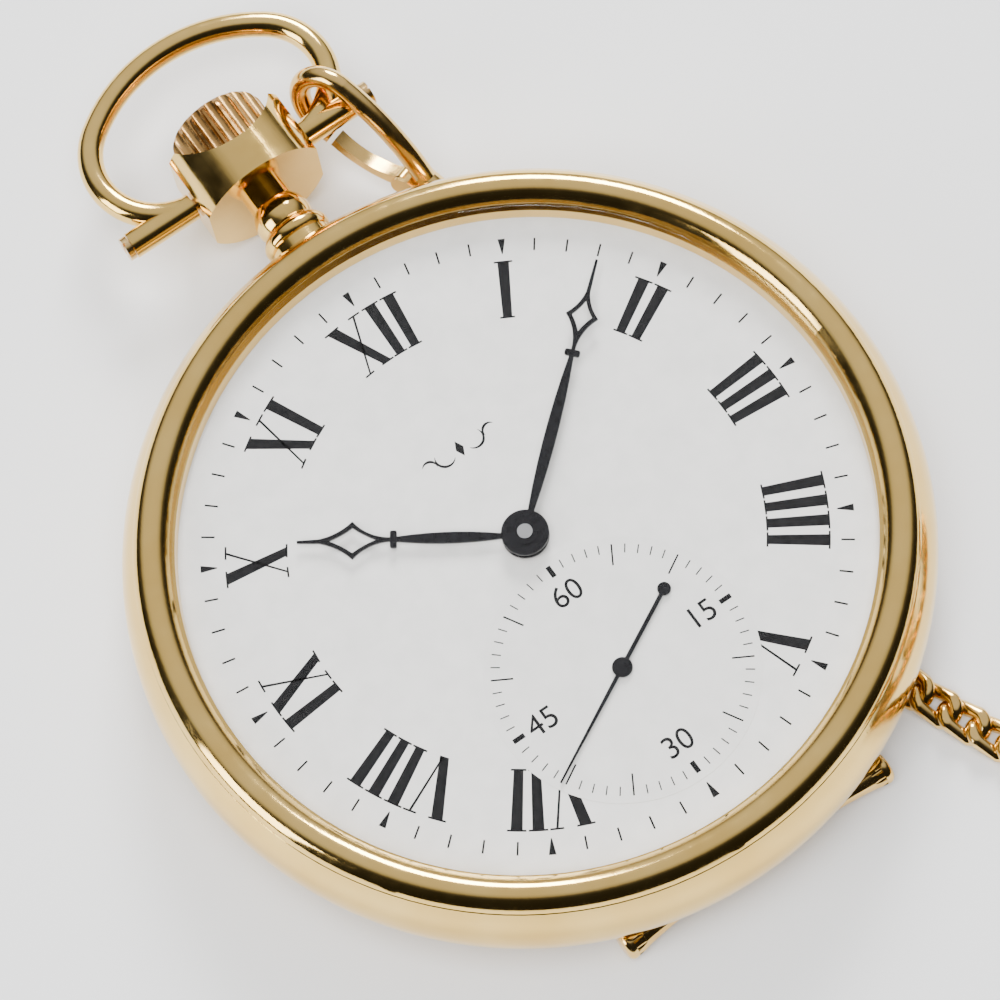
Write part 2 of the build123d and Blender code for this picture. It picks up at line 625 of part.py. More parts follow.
with BuildPart() as hour_hand:
    with BuildSketch(hand_plane(CENTRE, HOUR_ANGLE, HOUR_HAND_Z[0])):
        lozenge_hand(13.35, 4.4, 7.7, 10.1, 0.12, 0.34, 0.53, 1.16, 1.6, 0.28)
        Circle(HAND_HUB_R)
        Circle(1.05, mode=Mode.SUBTRACT)
    extrude(amount=HOUR_HAND_Z[1] - HOUR_HAND_Z[0])
save(hour_hand, "hour_hand")

with BuildPart() as minute_hand:
    with BuildSketch(hand_plane(CENTRE, MINUTE_ANGLE, MINUTE_HAND_Z[0])):
        lozenge_hand(17.6, 5.2, 11.5, 13.9, 0.16, 0.36, 0.46, 0.98, 1.2, 0.26)
        Circle(HAND_HUB_R)
        Circle(0.75, mode=Mode.SUBTRACT)
    extrude(amount=MINUTE_HAND_Z[1] - MINUTE_HAND_Z[0])
save(minute_hand, "minute_hand")

SECONDS_LENGTH, SECONDS_TAIL = 7.7, 5.3
with BuildPart() as seconds_hand:
    with BuildSketch(hand_plane(FOURTH, SECOND_ANGLE, SECONDS_HAND_Z[0])):
        with BuildLine():
            Polyline(
                (-0.12, -SECONDS_TAIL), (0.12, -SECONDS_TAIL), (0.12, 0), (0.05, SECONDS_LENGTH),
                (-0.05, SECONDS_LENGTH), (-0.12, 0), close=True,
            )
        make_face()
        with Locations((0, -SECONDS_TAIL)):
            Circle(0.4)
        Circle(0.6)
    extrude(amount=SECONDS_HAND_Z[1] - SECONDS_HAND_Z[0])
    with BuildSketch(Plane.XY.offset(DIAL_TOP + 0.06)):
        with Locations(FOURTH):
            Circle(0.24)
    extrude(amount=SECONDS_HAND_Z[0] - DIAL_TOP - 0.06)
    with BuildSketch(Plane.XY.offset(DIAL_TOP)):
        with Locations(FOURTH):
            Circle(PIVOT_R)
    extrude(amount=0.25, mode=Mode.SUBTRACT)
save(seconds_hand, "seconds_hand")

# ---- motion work ------------------------------------------------------------------------
ARBOR_R = 0.45
CANNON_R = 0.75

with BuildPart() as cannon_pinion:
    with BuildSketch(Plane.XY.offset(5.15)):
        add(gear_face(CANNON_TEETH, CANNON_MODULE))
    extrude(amount=0.42)
    with BuildSketch(Plane.XY.offset(5.15)):
        Circle(CANNON_R)
    extrude(amount=MINUTE_HAND_Z[1] + 0.1 - 5.15)
    with BuildSketch(Plane.XY.offset(5.15)):
        Circle(ARBOR_R)
    extrude(amount=2.8, mode=Mode.SUBTRACT)
save(cannon_pinion, "cannon_pinion")

with BuildPart() as minute_wheel:
    with BuildSketch(Plane.XY.offset(5.2)):
        with Locations(MINUTE_STUD):
            add(gear_face(MINUTE_TEETH, CANNON_MODULE, minute_wheel_phase))
    extrude(amount=0.28)
    with BuildSketch(Plane.XY.offset(5.48)):
        with Locations(MINUTE_STUD):
            add(gear_face(MINUTE_PINION, HOUR_MODULE))
    extrude(amount=0.47)
    with BuildSketch(Plane.XY.offset(5.2)):
        with Locations(MINUTE_STUD):
            Circle(0.4 + 0.04)
    extrude(amount=0.8, mode=Mode.SUBTRACT)
save(minute_wheel, "minute_wheel")

with BuildPart() as hour_wheel:
    with BuildSketch(Plane.XY.offset(5.65)):
        add(gear_face(HOUR_TEETH, HOUR_MODULE, hour_wheel_phase))
    extrude(amount=0.25)
    with BuildSketch(Plane.XY.offset(5.65)):
        Circle(1.05)
    extrude(amount=HOUR_HAND_Z[1] - 5.65)
    with BuildSketch(Plane.XY.offset(5.65)):
        Circle(CANNON_R + RUN_CLEAR)
    extrude(amount=2, mode=Mode.SUBTRACT)
save(hour_wheel, "hour_wheel")

# ---- going train --------------------------------------------------------------------------


def spoked_wheel(teeth, module, phase, spokes, hub_r):
    """Face of a thin toothed wheel crossed out into spokes."""
    root_r = module * teeth / 2 - 1.1 * module
    rim_r = root_r - 0.35
    with BuildSketch() as wheel:
        add(gear_face(teeth, module, phase))
        Circle(rim_r, mode=Mode.SUBTRACT)
        Circle(hub_r)
        with PolarLocations((rim_r + 0.15) / 2, spokes):
            Rectangle(rim_r + 0.15, 0.4)
    return wheel.sketch


def layer(face, centre, low, high, mode=Mode.ADD):
    """Extrude a flat shape between two heights about an arbor."""
    placed = face.moved(Location((centre[0], centre[1], low)))
    extrude(placed, amount=high - low, dir=(0, 0, 1), mode=mode)


def arbor_steps(centre, steps):
    """Turned arbor: (radius, low, high) for each step."""
    for radius, low, high in steps:
        layer(disc(radius), centre, low, high)


with BuildPart() as centre_arbor:
    arbor_steps(CENTRE, ((0.4, BRIDGE_Z0, 2.15), (0.6, 2.15, 3.85), (ARBOR_R, 3.85, 7.9)))
    layer(gear_face(CENTRE_PINION, BARREL_MODULE, centre_pinion_phase), CENTRE, 3.05, 3.6)
save(centre_arbor, "centre_arbor")

with BuildPart() as centre_wheel:
    layer(spoked_wheel(CENTRE_TEETH, CENTRE_MODULE, 0, 5, 1.2), CENTRE, 2.3, 2.5)
    layer(disc(0.6), CENTRE, 2.2, 2.6, Mode.SUBTRACT)
save(centre_wheel, "centre_wheel")

with BuildPart() as third_wheel:
    arbor_steps(THIRD, ((PIVOT_R, 1.75, 2.12), (0.3, 2.12, 3.85), (PIVOT_R, 3.85, 4.2)))
    layer(gear_face(THIRD_PINION, CENTRE_MODULE, third_pinion_phase), THIRD, 2.2, 2.65)
    layer(spoked_wheel(THIRD_TEETH, THIRD_MODULE, 0, 4, 0.8), THIRD, 3.5, 3.7)
save(third_wheel, "third_wheel")

with BuildPart() as fourth_wheel:
    arbor_steps(FOURTH, ((PIVOT_R, 1.75, 2.12), (0.3, 2.12, 3.85), (PIVOT_R, 3.85, 6.84)))
    layer(gear_face(FOURTH_PINION, THIRD_MODULE, fourth_pinion_phase), FOURTH, 3.35, 3.85)
    layer(spoked_wheel(FOURTH_TEETH, FOURTH_MODULE, 0, 4, 0.8), FOURTH, 2.9, 3.1)
save(fourth_wheel, "fourth_wheel")

ESCAPE_COUNT = 15
ESCAPE_TIP_R = 2.6
ESCAPE_ROOT_R = 1.95
escape_outline = []
for index in range(ESCAPE_COUNT):
    start = 360 / ESCAPE_COUNT * index + LEVER_ANGLE
    for radius, offset in ((ESCAPE_ROOT_R, 0), (ESCAPE_ROOT_R, 10), (ESCAPE_TIP_R, 16), (ESCAPE_TIP_R, 18.5)):
        angle = radians(start + offset)
        escape_outline.append((radius * cos(angle), radius * sin(angle)))

with BuildPart() as escape_wheel:
    arbor_steps(ESCAPE, ((PIVOT_R, 1.75, 2.12), (0.22, 2.12, 3.85), (PIVOT_R, 3.85, 4.2)))
    layer(gear_face(ESCAPE_PINION, FOURTH_MODULE, escape_pinion_phase), ESCAPE, 2.75, 3.25)
    layer(polygon(escape_outline), ESCAPE, 3.45, 3.6)
    layer(disc(1.6), ESCAPE, 3.45, 3.6, Mode.SUBTRACT)
    layer(disc(0.6), ESCAPE, 3.45, 3.6)
    for index in range(4):
        with BuildSketch(Plane.XY.offset(3.45)):
            with Locations(Location((ESCAPE[0], ESCAPE[1], 0), (0, 0, 90 * index))):
                with Locations((0.85, 0)):
                    Rectangle(1.7, 0.3)
        extrude(amount=0.15)
save(escape_wheel, "escape_wheel")

# ---- lever and balance ----------------------------------------------------------------------
lever_plane = Plane(origin=(PALLET[0], PALLET[1], 3.45), x_dir=(LEVER_DIR.X, LEVER_DIR.Y, 0))
FORK_REACH = 2.75
STONE_ANGLE = 32
STONE_R = 2.72
stone_x = STONE_R * cos(radians(STONE_ANGLE)) - PALLET_REACH
stone_y = STONE_R * sin(radians(STONE_ANGLE))

with BuildPart() as pallet_fork:
    with BuildSketch(lever_plane):
        Circle(0.5)
        with BuildLine():
            Polyline((0, -0.25), (FORK_REACH, -0.14), (FORK_REACH, 0.14), (0, 0.25), close=True)
        make_face()
        for side in (-1, 1):
            with BuildLine():
                Polyline((FORK_REACH - 0.5, side * 0.1), (FORK_REACH, side * 0.5), (FORK_REACH + 0.3, side * 0.42),
                         (FORK_REACH + 0.05, side * 0.1), close=True)
            make_face()
            with BuildLine():
                Polyline((0.15, side * 0.45), (stone_x + 0.5, side * (stone_y + 0.3)),
                         (stone_x + 0.25, side * stone_y), (-0.25, side * 0.2), close=True)
            make_face()
    extrude(amount=0.2)
    arbor_steps(PALLET, ((PIVOT_R, 2.85, 3.15), (0.25, 3.15, 3.85), (PIVOT_R, 3.85, 4.2)))
save(pallet_fork, "pallet_fork")

with BuildPart() as pallet_stones:
    with BuildSketch(lever_plane.offset(-0.15)):
        with Locations((stone_x + 0.38, stone_y + 0.12), (stone_x + 0.38, -stone_y - 0.12)):
            Rectangle(0.42, 0.3)
    extrude(amount=0.15)
save(pallet_stones, "pallet_stones")

BALANCE_R = 4.95
with BuildPart() as balance_wheel:
    layer(disc(BALANCE_R), BALANCE, 2.25, 2.62)
    layer(disc(BALANCE_R - 0.5), BALANCE, 2.25, 2.62, Mode.SUBTRACT)
    for angle in (0, 60, 120):
        with BuildSketch(Plane.XY.offset(2.35)):
            with Locations(Location((BALANCE[0], BALANCE[1], 0), (0, 0, angle))):
                Rectangle(2 * BALANCE_R - 0.6, 0.42)
        extrude(amount=0.18)
    arbor_steps(BALANCE, ((PIVOT_R, 1.55, 1.9), (0.5, 1.93, 2.15), (0.28, 1.9, 3.75), (PIVOT_R, 3.75, 4.2),
                          (0.75, 3.0, 3.12)))
    pin_place = (BALANCE[0] - 0.55 * LEVER_DIR.X, BALANCE[1] - 0.55 * LEVER_DIR.Y)
    layer(disc(0.12), pin_place, 3.12, 3.4)
save(balance_wheel, "balance_wheel")

HAIRSPRING_TURNS = 9
HAIRSPRING_R0, HAIRSPRING_R1 = 0.62, 2.75
HAIRSPRING_STRIP = 0.07
STUD_ANGLE = 20.0
with BuildPart() as hairspring:
    centre_line = []
    steps = HAIRSPRING_TURNS * 12
    for index in range(steps + 1):
        share = index / steps
        radius = HAIRSPRING_R0 + (HAIRSPRING_R1 - HAIRSPRING_R0) * share
        angle = radians(STUD_ANGLE + 360 * HAIRSPRING_TURNS * (share - 1))
        centre_line.append((radius, angle))
    outer = [((r + HAIRSPRING_STRIP / 2) * cos(a), (r + HAIRSPRING_STRIP / 2) * sin(a)) for r, a in centre_line]
    inner = [((r - HAIRSPRING_STRIP / 2) * cos(a), (r - HAIRSPRING_STRIP / 2) * sin(a)) for r, a in centre_line]
    layer(polygon((*outer, *reversed(inner))), BALANCE, 1.95, 2.12)
    stud = (BALANCE[0] + HAIRSPRING_R1 * cos(radians(STUD_ANGLE)), BALANCE[1] + HAIRSPRING_R1 * sin(radians(STUD_ANGLE)))
    layer(disc(0.2), stud, 1.95, 2.2)
save(hairspring, "hairspring")

with BuildPart() as regulator:
    with BuildSketch(Plane(origin=(BALANCE[0], BALANCE[1], 1.15), x_dir=(0.8, 0.6, 0))):
        Circle(1.2)
        with Locations((1.9, 0)):
            Rectangle(2.6, 0.5)
        Circle(0.45, mode=Mode.SUBTRACT)
    extrude(amount=0.22)
save(regulator, "regulator")

# ---- barrel and winding work --------------------------------------------------------------------
WHEEL_Z = (0.98, 1.28)
DRUM_R = 6.75
BARREL_Z = (3.1, 4.65)
BARREL_WALL = 0.25
COVER_THICK = 0.24
drum_floor = BARREL_Z[0] + BARREL_WALL
cover_z = BARREL_Z[1] - COVER_THICK - 0.01
with BuildPart() as mainspring_barrel:
    layer(gear_face(BARREL_TEETH, BARREL_MODULE, barrel_phase), BARREL, BARREL_Z[0], BARREL_Z[0] + 0.4)
    layer(disc(DRUM_R), BARREL, *BARREL_Z)
    layer(disc(DRUM_R - BARREL_WALL), BARREL, drum_floor, BARREL_Z[1], Mode.SUBTRACT)
    layer(disc(0.82), BARREL, BARREL_Z[0], drum_floor, Mode.SUBTRACT)
save(mainspring_barrel, "mainspring_barrel")

with BuildPart() as barrel_cover:
    layer(disc(DRUM_R - BARREL_WALL - 0.01), BARREL, cover_z, cover_z + COVER_THICK)
    layer(disc(0.6), BARREL, cover_z, cover_z + COVER_THICK, Mode.SUBTRACT)
save(barrel_cover, "barrel_cover")

SPRING_TURNS = 7
with BuildPart() as mainspring:
    line_in, line_out = [], []
    steps = SPRING_TURNS * 12
    for index in range(steps + 1):
        share = index / steps
        radius = 1.45 + (DRUM_R - 0.4 - 1.45) * share
        angle = 2 * pi * SPRING_TURNS * share
        line_in.append(((radius - 0.1) * cos(angle), (radius - 0.1) * sin(angle)))
        line_out.append(((radius + 0.1) * cos(angle), (radius + 0.1) * sin(angle)))
    layer(polygon((*line_out, *reversed(line_in))), BARREL, drum_floor + 0.05, cover_z - 0.05)
save(mainspring, "mainspring")

hub_z = (drum_floor + 0.03, cover_z - 0.05)
with BuildPart() as barrel_arbor:
    arbor_steps(BARREL, ((0.75, WHEEL_Z[1], hub_z[0]), (1.3, *hub_z), (0.5, hub_z[1], 4.88)))
save(barrel_arbor, "barrel_arbor")

with BuildPart() as ratchet_wheel:
    layer(gear_face(RATCHET_TEETH, WIND_MODULE, ratchet_phase), BARREL, *WHEEL_Z)
    layer(disc(1.3), BARREL, 0.8, 0.98)
    layer(polygon(((-0.15, -1.5), (0.15, -1.5), (0.15, 1.5), (-0.15, 1.5))), BARREL, 0.8, 0.9, Mode.SUBTRACT)
save(ratchet_wheel, "ratchet_wheel")

WINDING_PINION_R = 1.5
CONTRATE_TEETH = 20
CONTRATE_R = (2.15, CROWN_HOLE_R - RUN_CLEAR)
contrate_top = PENDANT_Z - WINDING_PINION_R - 0.06
with BuildPart() as crown_wheel:
    layer(gear_face(CROWN_TEETH, WIND_MODULE), CROWN_WHEEL, *WHEEL_Z)
    layer(disc(1.2), CROWN_WHEEL, 0.82, 0.98)
    layer(disc(CONTRATE_R[1]), CROWN_WHEEL, WHEEL_Z[1], contrate_top)
    layer(disc(CONTRATE_R[0]), CROWN_WHEEL, 1.8, contrate_top, Mode.SUBTRACT)
    with BuildSketch(Plane.XY.offset(contrate_top - 0.4)):
        with Locations(CROWN_WHEEL):
            with PolarLocations(2.5, CONTRATE_TEETH):
                Rectangle(1.2, 0.4)
    extrude(amount=0.5, mode=Mode.SUBTRACT)
save(crown_wheel, "crown_wheel")

CLICK_PIVOT = (BARREL[0] - 7.1, BARREL[1] + 1.25)
CLICK_TIP_R = 6.05
click_line = Vector(BARREL[0] - CLICK_PIVOT[0], BARREL[1] - CLICK_PIVOT[1])
click_plane = Plane(
    origin=(CLICK_PIVOT[0], CLICK_PIVOT[1], WHEEL_Z[0]), x_dir=(click_line.X, click_line.Y, 0)
)
click_reach = click_line.length - CLICK_TIP_R
with BuildPart() as click:
    with BuildSketch(click_plane):
        Circle(0.75)
        with BuildLine():
            Polyline((0, -0.7), (click_reach, -0.1), (click_reach, 0.25), (0, 0.75), close=True)
        make_face()
    extrude(amount=WHEEL_Z[1] - WHEEL_Z[0])
save(click, "click")

with BuildPart() as click_spring:
    with BuildSketch(click_plane):
        with BuildLine():
            ThreePointArc((0.2, -0.95), (-0.6, -2.0), (-0.1, -3.4))
            Line((-0.1, -3.4), (-0.35, -3.4))
            ThreePointArc((-0.35, -3.4), (-0.85, -2.0), (-0.05, -0.95))
            Line((-0.05, -0.95), (0.2, -0.95))
        make_face()
        with Locations((-0.1, -3.6)):
            Circle(0.42)
    extrude(amount=WHEEL_Z[1] - WHEEL_Z[0])
save(click_spring, "click_spring")

# ---- keyless work -------------------------------------------------------------------------------
SQUARE_HALF = 0.4
SQUARE_Y = (10.2, 13.3)
WINDING_Y = (13.4, 14.7)
SLIDING_Y = (10.9, 12.9)
SLIDING_GROOVE = (YOKE_PIVOT[1] - 0.25, YOKE_PIVOT[1] + 0.25)
STEM_GROOVE = (LEVER_PIVOT[1] - 0.25, LEVER_PIVOT[1] + 0.25)
STEM_GROOVE_R = 0.33
STEM_TURNED_R = STEM_R - 0.02


def rod(radius, low, high, mode=Mode.ADD):
    """Round bar on the pendant's axis between two distances from the watch's centre."""
    extrude(pendant_plane(low).location * disc(radius), amount=high - low, dir=(0, 1, 0), mode=mode)


with BuildPart() as winding_stem:
    rod(0.3, 9.3, SQUARE_Y[0])
    with BuildSketch(pendant_plane(SQUARE_Y[0])):
        Rectangle(2 * SQUARE_HALF, 2 * SQUARE_HALF)
    extrude(amount=SQUARE_Y[1] - SQUARE_Y[0])
    rod(STEM_TURNED_R, SQUARE_Y[1], STEM_GROOVE[0])
    rod(STEM_GROOVE_R, STEM_GROOVE[0], STEM_GROOVE[1])
    rod(STEM_TURNED_R, STEM_GROOVE[1], 31.0)
save(winding_stem, "winding_stem")

CROWN_FLUTES = 20
with BuildPart() as crown:
    with BuildSketch(Plane(origin=(0, 0, PENDANT_Z), x_dir=(0, 1, 0), z_dir=(1, 0, 0))):
        with BuildLine():
            Line((CROWN_Y0, 0), (CROWN_Y0, CROWN_R - 0.6))
            ThreePointArc(
                (CROWN_Y0, CROWN_R - 0.6), (CROWN_Y0 + 0.25, CROWN_R - 0.18), (CROWN_Y0 + 0.9, CROWN_R)
            )
            Line((CROWN_Y0 + 0.9, CROWN_R), (CROWN_Y1 - 1.1, CROWN_R))
            ThreePointArc(
                (CROWN_Y1 - 1.1, CROWN_R), (CROWN_Y1 - 0.35, CROWN_R - 0.3), (CROWN_Y1 - 0.1, CROWN_R - 1.1)
            )
            Line((CROWN_Y1 - 0.1, CROWN_R - 1.1), (CROWN_Y1, 0))
            Line((CROWN_Y1, 0), (CROWN_Y0, 0))
        make_face()
    revolve(axis=Axis((0, 0, PENDANT_Z), (0, 1, 0)))
    rod(STEM_TURNED_R, CROWN_Y0 - 0.1, 31.0, Mode.SUBTRACT)
    with BuildSketch(pendant_plane(CROWN_Y0 - 0.1)):
        with PolarLocations(CROWN_R + 0.05, CROWN_FLUTES):
            Circle(0.42)
    extrude(amount=CROWN_Y1 - CROWN_Y0 - 0.1, mode=Mode.SUBTRACT)
save(crown, "crown")

with BuildPart() as winding_pinion:
    with BuildSketch(pendant_plane(WINDING_Y[0])):
        add(gear_face(12, 2 * (WINDING_PINION_R - 0.18) / 12, 15, addendum=0.8))
        Circle(STEM_TURNED_R + 0.04, mode=Mode.SUBTRACT)
    extrude(amount=WINDING_Y[1] - WINDING_Y[0])
save(winding_pinion, "winding_pinion")

with BuildPart() as sliding_pinion:
    rod(1.25, *SLIDING_Y)
    rod(1.4, *SLIDING_GROOVE, Mode.SUBTRACT)
    rod(0.8, *SLIDING_GROOVE)
    with BuildSketch(pendant_plane(SLIDING_Y[0])):
        Rectangle(2 * SQUARE_HALF + 0.06, 2 * SQUARE_HALF + 0.06)
    extrude(amount=SLIDING_Y[1] - SLIDING_Y[0], mode=Mode.SUBTRACT)
save(sliding_pinion, "sliding_pinion")

with BuildPart() as setting_lever:
    with BuildSketch(Plane.XY.offset(KEYLESS_FLOOR_Z + 0.05)):
        with Locations((LEVER_PIVOT[0] / 2, LEVER_PIVOT[1])):
            SlotCenterToCenter(LEVER_PIVOT[0], 0.8)
        with Locations(LEVER_PIVOT):
            Circle(0.75)
            Circle(POST_R + 0.04, mode=Mode.SUBTRACT)
    extrude(amount=0.38)
    with BuildSketch(Plane.XY.offset(PENDANT_Z + STEM_GROOVE_R + 0.05)):
        with Locations((0, LEVER_PIVOT[1])):
            Circle(0.18)
    extrude(amount=KEYLESS_FLOOR_Z + 0.05 - PENDANT_Z - STEM_GROOVE_R - 0.05)
save(setting_lever, "setting_lever")

YOKE_Z = 5.43
with BuildPart() as yoke:
    with BuildSketch(Plane.XY.offset(YOKE_Z)):
        with Locations(((YOKE_PIVOT[0] + 1.6) / 2, YOKE_PIVOT[1])):
            Rectangle(YOKE_PIVOT[0] - 1.6, 0.8)
        with Locations((0.8, YOKE_PIVOT[1])):
            Rectangle(2.2, 0.28)
        with Locations(YOKE_PIVOT):
            Circle(0.75)
            Circle(POST_R + 0.04, mode=Mode.SUBTRACT)
    extrude(amount=0.3)
save(yoke, "yoke")

with BuildPart() as yoke_spring:
    with BuildSketch(Plane.XY.offset(KEYLESS_FLOOR_Z)):
        with BuildLine():
            Polyline((4.7, 10.6), (5.0, 10.6), (5.2, 14.4), (4.6, 14.4), (4.6, 14.1), (4.9, 14.1), close=True)
        make_face()
    extrude(amount=0.3)
save(yoke_spring, "yoke_spring")

with BuildPart() as setting_cover:
    with BuildSketch(Plane.XY.offset(KEYLESS_FLOOR_Z + 0.55)):
        with BuildLine():
            Polyline((1.9, 12.9), (5.5, 12.9), (5.5, 16.9), (-1.0, 16.9), (-1.0, 15.5), (1.9, 15.3), close=True)
        make_face()
    extrude(amount=0.25)
save(setting_cover, "setting_cover")

# ---- chain: swivel clips, rings, T-bar and the curb chain ------------------------------------------
CLIP_HALF = 2.1          # centre line of the hook's round end
CLIP_WIRE_R = 0.66
NOSE_Y = 1.3
GATE_PIVOT = (-0.95, 6.4)
BOSS_Y = (7.1, 8.7)
BOSS_R = 0.95
EYE_Y = 10.25
EYE_R = 1.05
EYE_WIRE_R = 0.36
SHANK_R = 0.34


def save_placed(builder, plane, name):
    """Move a piece from its own plane to its place and write it."""
    part = builder.part.moved(plane.location)
    part.label = name
    export_step(part, f"parts/{name}.step")


def swivel_clip(plane, prefix, eye_turn):
    """Hook with a sprung gate, and the swivel eye riveted into its boss."""
    with BuildPart() as body:
        with BuildLine() as path:
            Line((-CLIP_HALF, NOSE_Y), (-CLIP_HALF, 0))
            ThreePointArc((-CLIP_HALF, 0), (0, -CLIP_HALF), (CLIP_HALF, 0))
            TangentArc((CLIP_HALF, 0), (0.4, 7.4), tangent=(0, 1))
        wire = path.wires()[0]
        with BuildSketch(Plane(origin=wire @ 0, z_dir=wire % 0)):
            Circle(CLIP_WIRE_R)
        sweep(path=wire)
        with BuildSketch(Plane.XZ.offset(-BOSS_Y[0])):
            Circle(BOSS_R)
        extrude(amount=-(BOSS_Y[1] - BOSS_Y[0]))
        with BuildSketch(Plane.XY.offset(-0.85)):
            with BuildLine():
                Polyline((-1.42, 6.4), (-0.75, 7.8), (-0.1, 7.8), (-0.1, 6.7), (-0.5, 6.1), close=True)
            make_face()
            with Locations(GATE_PIVOT):
                Circle(0.5)
        extrude(amount=1.7)
        with BuildSketch(Plane.XY.offset(-0.56)):
            with Locations(GATE_PIVOT):
                Circle(0.66)
            with Locations((GATE_PIVOT[0] + 0.2, GATE_PIVOT[1] - 0.5)):
                Rectangle(1.1, 0.9)
        extrude(amount=1.12, mode=Mode.SUBTRACT)
        with BuildSketch(Plane.XY.offset(-0.85)):
            with Locations(GATE_PIVOT):
                Circle(0.25)
        extrude(amount=1.7)
        for radius, low, high in ((0.6, 7.4, 7.9), (SHANK_R + RUN_CLEAR, 7.9, BOSS_Y[1])):
            with BuildSketch(Plane.XZ.offset(-low)):
                Circle(radius)
            extrude(amount=-(high - low), mode=Mode.SUBTRACT)
    save_placed(body, plane, f"{prefix}_clip_body")

    with BuildPart() as gate:
        with BuildSketch(Plane.XY.offset(-0.5)):
            with BuildLine():
                ThreePointArc((-1.4, 6.25), (-2.22, 4.1), (-2.4, NOSE_Y + 0.3))
                Line((-2.4, NOSE_Y + 0.3), (-1.8, NOSE_Y + 0.3))
                ThreePointArc((-1.8, NOSE_Y + 0.3), (-1.68, 4.1), (-0.75, 6.0))
                Line((-0.75, 6.0), (-1.4, 6.25))
            make_face()
            with Locations(GATE_PIVOT):
                Circle(0.55)
                Circle(0.3, mode=Mode.SUBTRACT)
        extrude(amount=1.0)
    save_placed(gate, plane, f"{prefix}_clip_gate")

    with BuildPart() as eye:
        for radius, low, high in ((0.5, 7.48, 7.82), (SHANK_R, 7.82, EYE_Y - EYE_R)):
            with BuildSketch(Plane.XZ.offset(-low)):
                Circle(radius)
            extrude(amount=-(high - low))
        with Locations(Location((0, EYE_Y, 0), (0, eye_turn, 0))):
            Torus(EYE_R, EYE_WIRE_R)
    save_placed(eye, plane, f"{prefix}_clip_eye")


hang_dir = Vector(0.30, -0.89, -0.33).normalized()
front_dir = Vector(0.45, -0.2, 0.87)
front_dir = (front_dir - hang_dir * front_dir.dot(hang_dir)).normalized()
BOW_CLIP_AT = (6.46, 30.87, 4.85)
bow_clip_plane = Plane(origin=BOW_CLIP_AT, x_dir=front_dir, z_dir=front_dir.cross(hang_dir))
swivel_clip(bow_clip_plane, "bow", 0)

COIL = (37.3, -30.9)
COIL_IN_R, COIL_OUT_R = 8.9, 16.1
FOB_CLIP_AT = (COIL[0] - 4.2, COIL[1], 0.74)
FOB_TILT = 4.6
fob_dir = Vector(cos(radians(FOB_TILT)), 0, sin(radians(FOB_TILT)))
fob_clip_plane = Plane(origin=FOB_CLIP_AT, x_dir=(0, -1, 0), z_dir=Vector(0, -1, 0).cross(fob_dir))
swivel_clip(fob_clip_plane, "fob", 90)

RING_WIRE_R = 0.32
EYE_POINT = hang_dir * EYE_Y + Vector(*BOW_CLIP_AT)
FOB_EYE_POINT = fob_dir * EYE_Y + Vector(*FOB_CLIP_AT)
CHAIN_START = (10.35, 19.75)
CHAIN_END_X = COIL[0] + 8.4
TIE_EYE = (0.58, -20.65, 0.8)
TIE_EYE_R, TIE_EYE_WIRE_R = 0.65, 0.18
LINK_HALF, LINK_WIDE, LINK_WIRE_R, LINK_PITCH = 1.09, 0.56, 0.18, 1.58
DROP_R = 20.45
DROP_Z = 0.64
DROP_LINKS = 7
DROP_START = 176
JUNCTION_R, JUNCTION_WIRE_R = 0.75, 0.18


def ring_between(near, far, side):
    """Round ring whose wire runs through both points and lies flat along the side direction."""
    along = (far - near).normalized()
    plane = Plane(origin=(near + far) * 0.5, x_dir=along, z_dir=along.cross(Vector(*side)))
    with Locations(plane.location):
        Torus((far - near).length / 2, RING_WIRE_R)


def oval_link(centre, along, tilt):
    """Oval wire link about a centre, turned about its length by the tilt."""
    sideways = Vector(0, 0, 1).cross(Vector(*along))
    normal = Vector(0, 0, 1) * cos(radians(tilt)) + sideways * sin(radians(tilt))
    plane = Plane(origin=centre, x_dir=along, z_dir=normal)
    straight = LINK_HALF - LINK_WIDE
    sides = (
        Edge.make_line((-straight, LINK_WIDE), (straight, LINK_WIDE)),
        Edge.make_three_point_arc((straight, LINK_WIDE), (LINK_HALF, 0), (straight, -LINK_WIDE)),
        Edge.make_line((straight, -LINK_WIDE), (-straight, -LINK_WIDE)),
        Edge.make_three_point_arc((-straight, -LINK_WIDE), (-LINK_HALF, 0), (-straight, LINK_WIDE)),
    )
    loop = Wire(sides)
    section = Face(Wire.make_circle(LINK_WIRE_R, Plane(origin=loop @ 0, z_dir=loop % 0)))
    add(Solid.sweep(section, path=loop).moved(plane.location))


drop_step = degrees(LINK_PITCH / DROP_R)
with BuildPart() as chain_rings:
    ring_between(
        EYE_POINT - Vector(0, 0, 0.2), Vector(CHAIN_START[0] - 0.4, CHAIN_START[1] + 0.35, CHAIN_Z),
        (0.9, 0.42, 0),
    )
    ring_between(FOB_EYE_POINT, Vector(CHAIN_END_X, COIL[1], CHAIN_Z), (0, 1, 0))
    for number in range(DROP_LINKS):
        turn = DROP_START - drop_step * number
        heading = (-cos(radians(turn)), sin(radians(turn)), 0)
        oval_link((*clock(DROP_R, turn), DROP_Z), heading, 45 if number % 2 == 0 else -45)
    reach = LINK_HALF + JUNCTION_R - LINK_WIRE_R - JUNCTION_WIRE_R - 0.22
    drop_end = Vector(*clock(DROP_R, turn), DROP_Z) + Vector(*heading) * reach
    with Locations(drop_end):
        Torus(JUNCTION_R, JUNCTION_WIRE_R)
save(chain_rings, "chain_rings")

